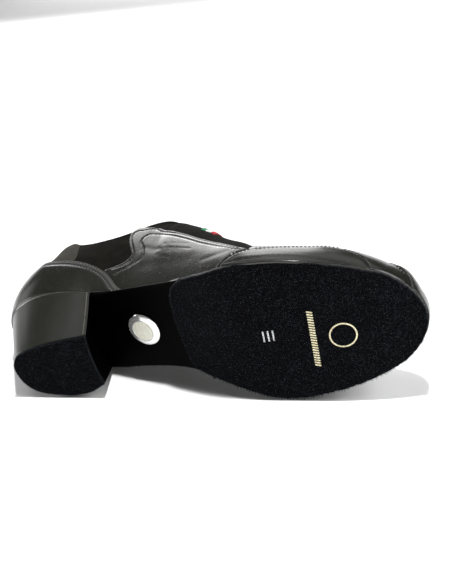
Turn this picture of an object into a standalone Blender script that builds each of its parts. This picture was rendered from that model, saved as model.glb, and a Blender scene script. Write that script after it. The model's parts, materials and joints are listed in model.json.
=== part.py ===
"""Right dance sneaker with a covered heel and a split sole, lying on its inner side.

The tables are in millimetres and describe the shoe standing: x from heel to toe, y towards the
inner side, z up from the ground. The pieces are made in metres and hang on one empty, which lays
the shoe on the plane it comes to rest on.
"""
import math
from collections import namedtuple

import bmesh
import bpy
import numpy as np
from mathutils import Matrix, Vector

MM = 0.001

# Thicknesses and joints
WALL_THICK = 2.0
SOLE_THICK = 3.2
ARCH_THICK = 1.8
INSOLE_THICK = 2.5
PANEL_THICK = 1.0
TAB_THICK = 0.7
TOP_PIECE_THICK = 2.3
JOINT = 0.3
PANEL_GAP = 0.35

# Edges and heel
SOLE_OVERHANG = 0.8
INSOLE_INSET = 2.8
BREAST_HOLLOW_TOP = 5.0
BREAST_HOLLOW_FOOT = 1.4
HEEL_FLARE = 1.0
HEEL_FRONT = 15.22

# Button under the arch
BUTTON_X = 86.0
BUTTON_Y = -2.7
BUTTON_RADIUS = 9.9
BUTTON_THICK = 1.5
INLAY_RADIUS = 6.2
INLAY_THICK = 0.7

# Mesh density
COLUMN_STEP = 0.5
WALL_ROWS = 12
CROSS_POINTS = 9
HEEL_LEVELS = 5

# Underside of the upper along the foot
Height = namedtuple("Height", "x z")
PROFILE = (
    Height(0, 46.0),
    Height(30, 41.0),
    Height(60, 33.5),
    Height(75, 29.0),
    Height(90, 24.0),
    Height(105, 18.5),
    Height(118, 13.0),
    Height(130, 8.0),
    Height(142, 4.6),
    Height(155, 3.5),
    Height(185, 3.5),
    Height(205, 5.0),
    Height(225, 7.8),
    Height(241, 11.3),
)

# Feather line, one row per section from the toe tip round both sides to the heel back
Feather = namedtuple("Feather", "outer_x outer_y inner_x inner_y")
FEATHER = (
    Feather(240.6, 2.5, 240.6, 2.5),
    Feather(238.4, -8.0, 238.4, 11.5),
    Feather(233.0, -17.5, 233.0, 19.5),
    Feather(224.5, -26.5, 224.5, 26.0),
    Feather(213.0, -32.8, 213.0, 30.6),
    Feather(199.0, -38.7, 199.0, 34.6),
    Feather(183.0, -44.2, 184.0, 37.0),
    Feather(163.0, -47.2, 168.0, 38.2),
    Feather(148.0, -46.8, 153.0, 35.6),
    Feather(132.0, -41.8, 138.0, 29.6),
    Feather(118.0, -37.0, 122.0, 23.8),
    Feather(106.0, -32.6, 107.0, 21.4),
    Feather(96.0, -29.6, 96.0, 21.5),
    Feather(86.0, -27.4, 86.0, 22.4),
    Feather(75.0, -25.2, 75.0, 23.6),
    Feather(60.0, -23.5, 60.0, 25.2),
    Feather(44.0, -23.6, 44.0, 24.4),
    Feather(28.0, -22.0, 28.0, 22.4),
    Feather(14.0, -17.5, 14.0, 18.0),
    Feather(5.0, -11.0, 5.0, 11.0),
    Feather(1.0, -1.0, 1.0, -1.0),
)

# Walls, same sections: the ridge or collar point they rise to, half the collar's width there,
# how far they first swell and rise, and how far they reach out and drop from the top
Wall = namedtuple("Wall", "top_x top_y top_z half_open swell rise reach drop")
WALLS = (
    Wall(222.0, 3.0, 37.0, 0.0, 2, 16.0, 12, 4.5),
    Wall(220.0, 3.0, 37.7, 0.0, 2, 17.0, 13, 4.0),
    Wall(215.0, 3.0, 39.4, 0.0, 2, 18.5, 17, 2.6),
    Wall(208.0, 3.0, 41.6, 0.0, 2, 20.0, 21, 1.2),
    Wall(199.0, 3.0, 44.0, 0.0, 2.5, 20.5, 25, 0),
    Wall(187.0, 3.0, 46.5, 0.0, 2.5, 21.5, 27, 0),
    Wall(173.0, 2.5, 50.5, 0.0, 2.5, 23.0, 27, 0),
    Wall(157.0, 2.0, 58.0, 0.0, 3, 25.0, 26, 0),
    Wall(143.5, 1.0, 69.5, 0.0, 3, 30.0, 28, 0),
    Wall(131.0, 0.0, 83.5, 0.0, 4, 47.0, 32, 0),
    Wall(120.0, -0.5, 95.5, 0.0, 5, 58.0, 33, 0),
    Wall(110.5, -1.0, 104.5, 0.0, 6, 62.0, 33, 0),
    Wall(102.5, -1.0, 111.0, 0.0, 6, 63.0, 32, 0),
    Wall(100.5, -1.0, 108.5, 15.0, 6, 56.0, 18, 8),
    Wall(92.5, -1.0, 102.0, 26.0, 6, 44.0, 6, 15),
    Wall(72.0, -1.0, 93.2, 28.0, 6, 32.0, 1, 16),
    Wall(51.0, -1.0, 93.5, 26.0, 7, 28.0, 2, 16),
    Wall(36.0, -1.0, 99.5, 22.0, 8, 26.0, 4, 16),
    Wall(26.0, -1.0, 105.0, 15.0, 8, 26.0, 6, 15),
    Wall(20.5, -1.0, 108.0, 7.5, 8, 26.0, 8, 14),
    Wall(19.0, -1.0, 109.0, 0.0, 8, 26.0, 8, 14),
)
THROAT = 12
HEEL_BACK = len(FEATHER) - 1
RING = 2 * HEEL_BACK

# How much less the outer wall swells low down and reaches out higher up than the inner one
Press = namedtuple("Press", "section swell reach")
OUTER_PRESS = (
    Press(0.0, 0.0, 0.0),
    Press(0.9, 0.8, 0.8),
    Press(1.4, 0.0, 0.0),
    Press(2.0, -1.2, -1.2),
    Press(2.6, 0.3, 0.3),
    Press(3.0, 1.6, 1.6),
    Press(3.8, 0.7, 0.7),
    Press(4.5, -0.4, -0.4),
    Press(5.2, -0.8, -0.8),
    Press(6.0, 2.0, 2.0),
    Press(6.8, 3.0, 3.0),
    Press(7.4, 2.0, 2.0),
    Press(7.8, 0.0, -1.5),
    Press(8.4, 0.0, -4.0),
    Press(9.0, 0.0, -3.6),
    Press(9.7, 0.0, -3.4),
    Press(10.5, 0.0, -4.0),
    Press(11.3, 0.0, -3.2),
    Press(12.3, 0.0, 0.0),
    Press(40.0, 0.0, 0.0),
)

# Collar edge: the share of the wall that it reaches at each section
Edge = namedtuple("Edge", "section share")
COLLAR_EDGE = (
    Edge(0.00, 1.000),
    Edge(13.00, 1.000),
    Edge(14.30, 1.000),
    Edge(14.80, 0.985),
    Edge(15.10, 0.930),
    Edge(15.70, 0.868),
    Edge(16.25, 0.845),
    Edge(16.70, 0.862),
    Edge(16.90, 0.900),
    Edge(17.10, 0.940),
    Edge(17.60, 1.000),
    Edge(20.00, 1.000),
)

# Panels on the wall, as section number and share of the way up the wall
PANEL_FOOT = 0.008
COUNTER_TOP = (
    Edge(13.95, 0.020),
    Edge(14.08, 0.030),
    Edge(14.46, 0.096),
    Edge(14.94, 0.196),
    Edge(15.35, 0.268),
    Edge(15.76, 0.324),
    Edge(16.19, 0.372),
    Edge(16.54, 0.392),
    Edge(16.90, 0.410),
    Edge(17.30, 0.438),
    Edge(17.82, 0.490),
    Edge(18.60, 0.530),
    Edge(20.00, 0.545),
)
QUARTER_REAR = (
    Edge(13.62, PANEL_FOOT),
    Edge(13.98, 0.036),
    Edge(14.36, 0.104),
    Edge(14.82, 0.205),
    Edge(14.46, 0.224),
    Edge(14.25, 0.232),
    Edge(14.11, 0.252),
    Edge(14.09, 0.275),
    Edge(14.11, 0.300),
    Edge(14.31, 0.388),
    Edge(14.55, 0.512),
    Edge(14.74, 0.660),
    Edge(14.86, 0.816),
    Edge(14.87, 0.900),
    Edge(14.75, 0.936),
)
QUARTER_TIP = 3
QUARTER_TOP = (
    Edge(14.75, 0.936),
    Edge(14.50, 0.856),
    Edge(14.15, 0.732),
    Edge(13.43, 0.556),
    Edge(12.43, 0.428),
    Edge(11.33, 0.372),
    Edge(10.62, 0.348),
    Edge(9.38, 0.304),
    Edge(8.75, 0.292),
    Edge(8.22, 0.250),
    Edge(7.62, 0.150),
)
QUARTER_FRONT = (
    Edge(8.41, PANEL_FOOT),
    Edge(8.27, 0.022),
    Edge(8.11, 0.054),
    Edge(7.91, 0.086),
    Edge(7.73, 0.115),
    Edge(7.62, 0.150),
)
SIDE_VAMP_TOP = (
    Edge(8.17, 0.020),
    Edge(8.01, 0.052),
    Edge(7.81, 0.084),
    Edge(7.63, 0.112),
    Edge(7.38, 0.138),
    Edge(7.05, 0.160),
    Edge(6.48, 0.187),
    Edge(5.73, 0.226),
    Edge(5.01, 0.268),
    Edge(4.60, 0.262),
    Edge(4.24, 0.208),
    Edge(3.93, 0.132),
    Edge(3.74, 0.052),
)
TOE_CAP_EDGE = (
    Edge(1.62, PANEL_FOOT),
    Edge(1.72, 0.045),
    Edge(1.82, 0.100),
    Edge(1.96, 0.146),
    Edge(2.08, 0.174),
    Edge(2.19, 0.208),
    Edge(2.30, 0.244),
    Edge(2.41, 0.284),
    Edge(2.50, 0.340),
    Edge(2.58, 0.450),
    Edge(2.64, 0.600),
    Edge(2.66, 0.750),
    Edge(2.64, 0.900),
    Edge(2.58, 1.000),
)
TAB_SECTIONS = (8.83, 9.58)
TAB_SHARES = (0.470, 0.665)

# How far the forefoot sole stands out beyond the outer feather line
Rim = namedtuple("Rim", "section out")
SOLE_RIM = (
    Rim(0.0, SOLE_OVERHANG),
    Rim(2.0, 0.8),
    Rim(3.4, 0.4),
    Rim(4.5, 0.1),
    Rim(5.5, -0.2),
    Rim(6.2, -0.4),
    Rim(7.1, -0.4),
    Rim(7.8, -0.2),
    Rim(8.6, 0.1),
    Rim(9.5, 0.6),
    Rim(10.0, SOLE_OVERHANG),
)

# Where the forefoot sole ends under the arch, and the arch cover just behind it
Spot = namedtuple("Spot", "x y")
SOLE_BACK = (
    Spot(118.4, -37.8),
    Spot(112.0, -32.8),
    Spot(109.2, -27.1),
    Spot(107.8, -19.0),
    Spot(107.6, -9.0),
    Spot(108.6, 3.0),
    Spot(110.1, 14.5),
    Spot(113.4, 20.3),
    Spot(121.8, 24.5),
)
ARCH_FRONT = (
    Spot(114.6, -35.6),
    Spot(111.6, -32.5),
    Spot(108.8, -27.1),
    Spot(107.4, -19.0),
    Spot(107.2, -9.0),
    Spot(108.2, 3.0),
    Spot(109.7, 14.5),
    Spot(112.4, 19.9),
    Spot(114.4, 21.7),
)

# Heel foot, one row per section round the back
Foot = namedtuple("Foot", "section x y")
HEEL_FOOT = (
    Foot(HEEL_FRONT, 60.6, -16.5),
    Foot(16.0, 46.5, -15.5),
    Foot(17.0, 34.0, -14.2),
    Foot(18.0, 23.5, -11.6),
    Foot(19.0, 17.2, -8.2),
    Foot(20.0, 14.7, -1.0),
    Foot(21.0, 17.4, 8.4),
    Foot(22.0, 24.0, 15.0),
    Foot(23.0, 34.5, 18.5),
    Foot(24.0, 46.5, 20.05),
    Foot(24.45, 54.5, 19.0),
    Foot(RING - HEEL_FRONT, 62.4, 15.2),
)


def curve_through(knots, rows, closed=False, corners=(), level=False):
    """Smooth curve through the rows; corners may turn sharply, level keeps flat stretches flat."""
    knots = np.asarray(knots, float)
    rows = np.asarray(rows, float).reshape(len(knots), -1)
    spans = np.diff(knots)
    slopes = np.diff(rows, axis=0) / spans[:, None]
    arrive = np.zeros_like(rows)
    leave = np.zeros_like(rows)
    last = len(knots) - 1
    for i in range(len(knots)):
        before, after = i - 1, i
        if i in (0, last):
            before, after = (last - 1, 0) if closed else (0, 0) if i == 0 else (last - 1, last - 1)
        a, b = spans[before], spans[after]
        mean = (slopes[before] * b + slopes[after] * a) / (a + b)
        if level:
            mean = np.where(slopes[before] * slopes[after] <= 0, 0.0, mean)
        sharp = i in corners
        arrive[i] = slopes[before] if sharp else mean
        leave[i] = slopes[after] if sharp else mean

    def curve(value):
        value = np.clip(np.atleast_1d(np.asarray(value, float)), knots[0], knots[-1])
        j = np.clip(np.searchsorted(knots, value, side="right") - 1, 0, last - 1)
        span = spans[j][:, None]
        t = (value - knots[j])[:, None] / span
        start = (2 * t**3 - 3 * t**2 + 1) * rows[j] + (t**3 - 2 * t**2 + t) * span * leave[j]
        end = (3 * t**2 - 2 * t**3) * rows[j + 1] + (t**3 - t**2) * span * arrive[j + 1]
        return start + end

    return curve


def ring_rows():
    """Rows of both tables once round the shoe: outer side to the heel, inner side back."""
    feather, walls = [], []
    for i in list(range(HEEL_BACK + 1)) + list(range(HEEL_BACK - 1, -1, -1)):
        outer = len(feather) <= HEEL_BACK
        spot, wall = FEATHER[i], WALLS[i]
        half = -wall.half_open if outer else wall.half_open
        feather.append((spot.outer_x, spot.outer_y) if outer else (spot.inner_x, spot.inner_y))
        walls.append((wall.top_x, wall.top_y + half, wall.top_z) + wall[4:])
    return np.array(feather), np.array(walls)


FEATHER_ROWS, WALL_ROWS_TABLE = ring_rows()
STEPS = np.hypot(*np.diff(FEATHER_ROWS, axis=0).T)
RING_KNOTS = np.concatenate([[0.0], np.cumsum(STEPS)])
FEATHER_CURVE = curve_through(RING_KNOTS, FEATHER_ROWS, closed=True)
WALL_CURVE = curve_through(
    np.arange(RING + 1), WALL_ROWS_TABLE, closed=True, corners=(THROAT, RING - THROAT)
)
PRESS_CURVE = curve_through([p.section for p in OUTER_PRESS], [p[1:] for p in OUTER_PRESS], level=True)
COLLAR_CURVE = curve_through([e.section for e in COLLAR_EDGE], [e.share for e in COLLAR_EDGE], level=True)
RIM_CURVE = curve_through([r.section for r in SOLE_RIM], [r.out for r in SOLE_RIM], level=True)
BOTTOM_CURVE = curve_through([h.x for h in PROFILE], [h.z for h in PROFILE], level=True)


def bottom(x):
    """Height of the upper's underside at x."""
    x = np.asarray(x, float)
    return BOTTOM_CURVE(x.ravel())[:, 0].reshape(x.shape)


def along_ring(section):
    """Feather point, forward direction and outward direction at each section number."""
    way = np.interp(np.mod(section, RING), np.arange(RING + 1), RING_KNOTS)
    length = RING_KNOTS[-1]
    ahead = FEATHER_CURVE(np.mod(way + 0.5, length))
    behind = FEATHER_CURVE(np.mod(way - 0.5, length))
    forward = ahead - behind
    forward /= np.linalg.norm(forward, axis=1)[:, None]
    outward = np.stack([-forward[:, 1], forward[:, 0]], axis=1)
    return FEATHER_CURVE(way), forward, outward


def feather_line(section, outset=0.0):
    """Feather line moved outwards by outset."""
    point, _, outward = along_ring(np.atleast_1d(np.asarray(section, float)))
    return point + outward * outset


def last_surface(section, share):
    """Outside of the upper at each section number and share of the way up its wall."""
    section, share = np.broadcast_arrays(np.asarray(section, float), np.asarray(share, float))
    shape = section.shape
    t = share.ravel()
    foot, forward, outward = along_ring(section.ravel())
    row = WALL_CURVE(np.mod(section.ravel(), RING))
    floor = bottom(foot[:, 0])
    to_top = row[:, :2] - foot
    width = -(to_top * outward).sum(axis=1)
    lean = (to_top * forward).sum(axis=1)
    height = row[:, 2] - floor
    swell, rise, reach, drop = row[:, 3:].T
    less_swell, less_reach = PRESS_CURVE(np.mod(section.ravel(), RING)).T
    low, high, end = 3 * t * (1 - t) ** 2, 3 * t * t * (1 - t), t**3
    out = low * (swell - less_swell) + high * (reach - less_reach - width) - end * width
    up = low * rise + high * (height - drop) + end * height
    flat = foot + outward * out[:, None] + forward * (lean * t)[:, None]
    return np.column_stack([flat, floor + up]).reshape(shape + (3,))


def coons(near, far, left, right):
    """Grid spanned by four edges: near and far run left to right, left and right near to far."""
    near, far, left, right = (np.asarray(edge, float) for edge in (near, far, left, right))
    u = np.linspace(0, 1, len(near))[None, :, None]
    v = np.linspace(0, 1, len(left))[:, None, None]
    across = (1 - v) * near[None] + v * far[None]
    along = (1 - u) * left[:, None] + u * right[:, None]
    corners = (1 - v) * ((1 - u) * near[0] + u * near[-1]) + v * ((1 - u) * far[0] + u * far[-1])
    return across + along - corners


def resample(edges, count, corners=()):
    """Evenly numbered points along a short list of edge points."""
    numbers = np.arange(len(edges))
    return curve_through(numbers, edges, corners=corners)(np.linspace(0, numbers[-1], count))


def grid_faces(rows, columns, start=0, loop=False):
    """Quads of a grid of points, joined end to end when loop is set."""
    faces = []
    for i in range(rows if loop else rows - 1):
        for j in range(columns - 1):
            a = start + i * columns + j
            b = start + (i + 1) % rows * columns + j
            faces.append((a, b, b + 1, a + 1))
    return faces


def finish(name, points, faces, colour, roughness, metallic=0.0, shell=False):
    """Welded, outward facing object with its own material."""
    mesh = bpy.data.meshes.new(name)
    work = bmesh.new()
    verts = [work.verts.new(Vector(point) * MM) for point in np.asarray(points, float)]
    for face in faces:
        work.faces.new([verts[i] for i in face])
    bmesh.ops.remove_doubles(work, verts=work.verts[:], dist=0.02 * MM)
    bmesh.ops.recalc_face_normals(work, faces=work.faces[:])
    if shell:
        middle = sum((v.co for v in work.verts), Vector()) / len(work.verts)
        if sum(f.normal.dot(f.calc_center_median() - middle) for f in work.faces) < 0:
            bmesh.ops.reverse_faces(work, faces=work.faces[:])
    work.to_mesh(mesh)
    work.free()
    mesh.polygons.foreach_set("use_smooth", [True] * len(mesh.polygons))
    material = bpy.data.materials.new(name)
    material.use_nodes = True
    shader = material.node_tree.nodes["Principled BSDF"]
    shader.inputs["Base Color"].default_value = colour + (1.0,)
    shader.inputs["Roughness"].default_value = roughness
    shader.inputs["Metallic"].default_value = metallic
    mesh.materials.append(material)
    piece = bpy.data.objects.new(name, mesh)
    SHOE.objects.link(piece)
    return piece


def thicken(piece, thickness, side):
    """Solidify a shell, inwards with side -1 or outwards with side 1."""
    solid = piece.modifiers.new("thickness", "SOLIDIFY")
    solid.thickness = thickness * MM
    solid.offset = side
    solid.use_quality_normals = True


def panel(name, grid, colour, roughness, thickness=PANEL_THICK, lift=PANEL_GAP):
    """Piece lying on the upper: a patch of its surface lifted clear and given a thickness."""
    rows, columns = grid.shape[:2]
    points = last_surface(grid[..., 0], grid[..., 1]).reshape(-1, 3)
    piece = finish(name, points, grid_faces(rows, columns), colour, roughness)
    mesh = piece.data
    work = bmesh.new()
    work.from_mesh(mesh)
    work.normal_update()
    centre = Vector((120.0, 0.0, 45.0)) * MM
    heading = sum(f.normal.dot(f.calc_center_median() - centre) for f in work.faces)
    if heading < 0:
        bmesh.ops.reverse_faces(work, faces=work.faces[:])
        work.normal_update()
    normals = [v.normal.copy() for v in work.verts]
    for vert, normal in zip(work.verts, normals):
        vert.co += normal * lift * MM
    work.to_mesh(mesh)
    work.free()
    thicken(piece, thickness, 1.0)
    return piece


def stack(name, levels, colour, roughness):
    """Solid between flat grids: the first and last are its faces, their borders its sides."""
    levels = [np.asarray(level, float) for level in levels]
    rows, columns = levels[0].shape[:2]
    count = rows * columns
    number = np.arange(count).reshape(rows, columns)
    border = np.concatenate([number[0], number[1:, -1], number[-1, -2::-1], number[-2:0:-1, 0]])
    faces = grid_faces(rows, columns) + grid_faces(rows, columns, (len(levels) - 1) * count)
    for level in range(len(levels) - 1):
        low, high = border + level * count, border + (level + 1) * count
        for i in range(len(border)):
            j = (i + 1) % len(border)
            faces.append((low[i], low[j], high[j], high[i]))
    points = np.concatenate([level.reshape(-1, 3) for level in levels])
    return finish(name, points, faces, colour, roughness)


def at_height(flat, lift):
    """Flat grid laid along the upper's underside, lift above it."""
    return np.dstack([flat, bottom(flat[..., 0]) + lift])


def rungs(sections, outer_outset, inner_outset, count=CROSS_POINTS):
    """Rows straight across the foot, from the outer to the inner feather line, both moved out."""
    sections = np.asarray(sections, float)
    outer = feather_line(sections, outer_outset)[:, None]
    inner = feather_line(RING - sections, inner_outset)[:, None]
    share = np.linspace(0, 1, count)[None, :, None]
    return outer + (inner - outer) * share


def make_upper():
    sections = np.arange(0, RING, COLUMN_STEP)
    shares = COLLAR_CURVE(np.minimum(sections, RING - sections)) * np.linspace(0, 1, WALL_ROWS)
    points = last_surface(sections[:, None], shares).reshape(-1, 3)
    faces = grid_faces(len(sections), WALL_ROWS, loop=True)
    piece = finish("upper", points, faces, (0.030, 0.028, 0.026), 0.6, shell=True)
    thicken(piece, WALL_THICK, -1.0)


def side_grid(grid, inner):
    """The same patch on the inner side."""
    if inner:
        grid = grid.copy()
        grid[..., 0] = RING - grid[..., 0]
    return grid


def make_panels():
    leather = (0.045, 0.043, 0.040)
    top = curve_through([e.section for e in COUNTER_TOP], [e.share for e in COUNTER_TOP], level=True)
    half = np.concatenate([[COUNTER_TOP[0].section, 14.2], np.arange(14.5, HEEL_BACK, COLUMN_STEP)])
    sections = np.concatenate([half, [HEEL_BACK], (RING - half)[::-1]])
    shares = top(np.where(sections > HEEL_BACK, RING - sections, sections))[:, 0]
    rise = np.linspace(0, 1, 6)[None, :]
    counter = np.dstack([
        np.repeat(sections[:, None], 6, axis=1),
        PANEL_FOOT + (shares[:, None] - PANEL_FOOT) * rise,
    ])
    panel("heel_counter", counter, leather, 0.42)

    foot = resample([QUARTER_REAR[0], QUARTER_FRONT[0]], 11)
    rear = resample(QUARTER_REAR, 29, (QUARTER_TIP,))
    quarter = coons(foot, resample(QUARTER_TOP, 11), rear, resample(QUARTER_FRONT, 29))

    arc = curve_through([-e.section for e in SIDE_VAMP_TOP], [e.share for e in SIDE_VAMP_TOP], level=True)
    sections = np.array([e.section for e in SIDE_VAMP_TOP])
    sections = np.sort(np.concatenate([sections, (sections[1:] + sections[:-1])[5:8] / 2]))
    shares = arc(-sections)[:, 0]
    rise = np.linspace(0, 1, 5)[None, :]
    side_vamp = np.dstack([
        np.repeat(sections[:, None], 5, axis=1),
        PANEL_FOOT + (shares[:, None] - PANEL_FOOT) * rise,
    ])
    for side, inner in (("outer", False), ("inner", True)):
        panel("quarter_" + side, side_grid(quarter, inner), leather, 0.40, lift=1.5 * PANEL_GAP)
        panel("side_vamp_" + side, side_grid(side_vamp, inner), leather, 0.42)

    edge = curve_through([e.share for e in TOE_CAP_EDGE], [e.section for e in TOE_CAP_EDGE], level=True)
    shares = np.concatenate([[e.share for e in TOE_CAP_EDGE[:8]], np.linspace(0.36, 1, 8)])
    spread = np.linspace(-1, 1, 19)[None, :]
    cap = np.dstack([edge(shares) * spread, np.repeat(shares[:, None], 19, axis=1)])
    panel("toe_cap", cap, leather, 0.40, lift=1.3 * PANEL_GAP)

    sections = np.linspace(*TAB_SECTIONS, 7)[:, None]
    shares = np.linspace(*TAB_SHARES, 4)[None, :]
    tab = np.dstack(np.broadcast_arrays(sections, shares))
    panel("instep_tab", tab, (0.55, 0.55, 0.52), 0.7, TAB_THICK)


def make_bottom():
    half = np.arange(0, 10 + COLUMN_STEP, COLUMN_STEP)
    flat = rungs(half, RIM_CURVE(half), SOLE_OVERHANG)
    back = np.array(SOLE_BACK)
    back[0], back[-1] = flat[-1, 0], flat[-1, -1]
    tail = [flat[-1] + (back - flat[-1]) * share for share in (1 / 3, 2 / 3, 1.0)]
    flat = np.concatenate([flat, tail])
    levels = [at_height(flat, -JOINT), at_height(flat, -JOINT - SOLE_THICK)]
    stack("forefoot_sole", levels, (0.030, 0.034, 0.048), 0.95)

    across = np.linspace(-1, 1, CROSS_POINTS)
    outer = np.linspace(10.3, HEEL_FRONT - 0.045, 10)
    near = feather_line(outer[::-1])
    far = feather_line(RING - outer[::-1])
    breast = near[0] + (far[0] - near[0]) * ((across + 1) / 2)[:, None]
    breast[:, 0] = breast[:, 0] - BREAST_HOLLOW_TOP * (1 - across**2) + JOINT
    near[-1], far[-1] = ARCH_FRONT[0], ARCH_FRONT[-1]
    near[0], far[0] = breast[0], breast[-1]
    flat = coons(near, far, breast, np.array(ARCH_FRONT))
    levels = [at_height(flat, -JOINT), at_height(flat, -JOINT - ARCH_THICK)]
    stack("arch_cover", levels, (0.012, 0.012, 0.012), 0.5)

    half = np.arange(0, HEEL_BACK + COLUMN_STEP, COLUMN_STEP)
    flat = rungs(half, -INSOLE_INSET, -INSOLE_INSET, 5)
    stack("insole", [at_height(flat, 0.0), at_height(flat, INSOLE_THICK)], (0.16, 0.13, 0.10), 0.8)


def heel_grid(outer, inner, tip, hollow):
    """Rows across the heel from its breast to its back."""
    share = np.linspace(0, 1, CROSS_POINTS)[None, :, None]
    flat = outer[:, None] + (inner - outer)[:, None] * share
    flat[0, :, 0] -= hollow * (1 - np.linspace(-1, 1, CROSS_POINTS) ** 2)
    back = np.repeat(np.asarray(tip, float)[None, None], CROSS_POINTS, axis=1)
    return np.concatenate([flat, back])


def make_heel():
    sections = np.concatenate([[HEEL_FRONT], np.arange(15.5, HEEL_BACK, COLUMN_STEP)])
    seat = heel_grid(feather_line(sections), feather_line(RING - sections), feather_line(HEEL_BACK)[0],
                     BREAST_HOLLOW_TOP)
    edge = curve_through([f.section for f in HEEL_FOOT], [(f.x, f.y) for f in HEEL_FOOT])
    foot = heel_grid(edge(sections), edge(RING - sections), edge(HEEL_BACK)[0], BREAST_HOLLOW_FOOT)
    seat_z = bottom(seat[..., 0]) - JOINT
    foot_z = TOP_PIECE_THICK + JOINT
    middle = foot.reshape(-1, 2).mean(axis=0)
    levels = []
    for share in np.linspace(0, 1, HEEL_LEVELS):
        flat = seat + (foot - seat) * share
        inward = middle - flat
        sideways = inward[..., 1] / np.maximum(np.linalg.norm(inward, axis=2), 1e-6)
        outer_side = np.clip(0.5 + 1.2 * sideways, 0, 1)
        outer_side[0] *= np.linspace(-1, 1, CROSS_POINTS) ** 8
        flat[..., 1] -= HEEL_FLARE * (1 - share**2) * outer_side * sideways
        levels.append(np.dstack([flat, seat_z + (foot_z - seat_z) * share]))
    stack("heel_block", levels, (0.045, 0.043, 0.040), 0.42)
    ground = [np.dstack([foot, np.full(foot.shape[:2], z)]) for z in (TOP_PIECE_THICK, 0.0)]
    stack("heel_top_piece", ground, (0.030, 0.032, 0.042), 0.9)


def make_button():
    run = 0.5
    slope = (bottom(BUTTON_X + run) - bottom(BUTTON_X - run)) / (2 * run)
    down = Vector((float(slope), 0.0, -1.0)).normalized()
    arch = Vector((BUTTON_X, BUTTON_Y, float(bottom(BUTTON_X)) - JOINT - ARCH_THICK))
    turn = down.to_track_quat("Z", "Y").to_matrix().to_4x4()
    lift = 1.5 * JOINT
    for name, radius, thick, colour, roughness, metallic in (
        ("arch_button", BUTTON_RADIUS, BUTTON_THICK, (0.80, 0.80, 0.80), 0.2, 1.0),
        ("arch_button_inlay", INLAY_RADIUS, INLAY_THICK, (0.82, 0.80, 0.74), 0.5, 0.0),
    ):
        work = bmesh.new()
        bmesh.ops.create_cone(work, cap_ends=True, segments=40, radius1=radius, radius2=radius, depth=thick)
        centre = arch + down * (lift + thick / 2)
        bmesh.ops.transform(work, matrix=Matrix.Translation(centre) @ turn, verts=work.verts[:])
        points = [tuple(v.co) for v in work.verts]
        work.verts.index_update()
        faces = [tuple(v.index for v in f.verts) for f in work.faces]
        work.free()
        piece = finish(name, points, faces, colour, roughness, metallic)
        edge = piece.modifiers.new("edge", "BEVEL")
        edge.width = 0.25 * thick * MM
        edge.segments = 2
        edge.limit_method = "ANGLE"
        lift += thick + JOINT


def solid_facts(piece):
    """Corners, volume and volume times centre of a piece with its modifiers."""
    shape = piece.evaluated_get(bpy.context.evaluated_depsgraph_get())
    mesh = shape.to_mesh()
    mesh.calc_loop_triangles()
    points = np.array([tuple(v.co) for v in mesh.vertices])
    a, b, c = points[np.array([tuple(t.vertices) for t in mesh.loop_triangles])].transpose(1, 0, 2)
    shape.to_mesh_clear()
    volumes = (a * np.cross(b, c)).sum(axis=1) / 6
    return points, volumes.sum(), ((a + b + c) / 4 * volumes[:, None]).sum(axis=0)


def resting_turn(points, balance):
    """Rotation that lays the shoe on the plane of its inner side that holds its balance point."""
    work = bmesh.new()
    for point in points:
        work.verts.new(Vector(point))
    bmesh.ops.convex_hull(work, input=work.verts[:])
    bmesh.ops.triangulate(work, faces=work.faces[:])
    work.normal_update()
    balance = Vector(balance)
    for face in work.faces:
        a, b, c = (v.co for v in face.verts)
        foot = balance + face.normal * (a - balance).dot(face.normal)
        inside = min((q - p).cross(foot - p).dot(face.normal) for p, q in ((a, b), (b, c), (c, a)))
        if face.normal.y > 0.5 and inside >= 0:
            up = -face.normal
            break
    along = (Vector((1, 0, 0)) - up * up.x).normalized()
    turn = Matrix((along, up.cross(along), up))
    work.free()
    return turn


for old in list(bpy.data.objects):
    bpy.data.objects.remove(old)
SHOE = bpy.data.collections.new("dance_sneaker")
bpy.context.scene.collection.children.link(SHOE)

make_upper()
make_panels()
make_bottom()
make_heel()
make_button()

# Lay the shoe down, its box standing on the origin
bpy.context.view_layer.update()
PIECES = list(SHOE.objects)
FACTS = [solid_facts(piece) for piece in PIECES]
CLOUD = np.concatenate([points for points, _, _ in FACTS])
BALANCE = sum(moment for _, _, moment in FACTS) / sum(volume for _, volume, _ in FACTS)
TURN = resting_turn(CLOUD, BALANCE)
LAID = CLOUD @ np.array(TURN).T
LOW, HIGH = LAID.min(axis=0), LAID.max(axis=0)
MIDDLE = Vector(((LOW[0] + HIGH[0]) / 2, (LOW[1] + HIGH[1]) / 2, LOW[2]))

STAND = bpy.data.objects.new("lying_shoe", None)
SHOE.objects.link(STAND)
STAND.matrix_world = Matrix.Translation(-MIDDLE) @ TURN.to_4x4()
for piece in PIECES:
    piece.parent = STAND
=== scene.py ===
import json
import math
from collections import namedtuple

import bpy
import numpy as np
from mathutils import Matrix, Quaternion, Vector


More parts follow.
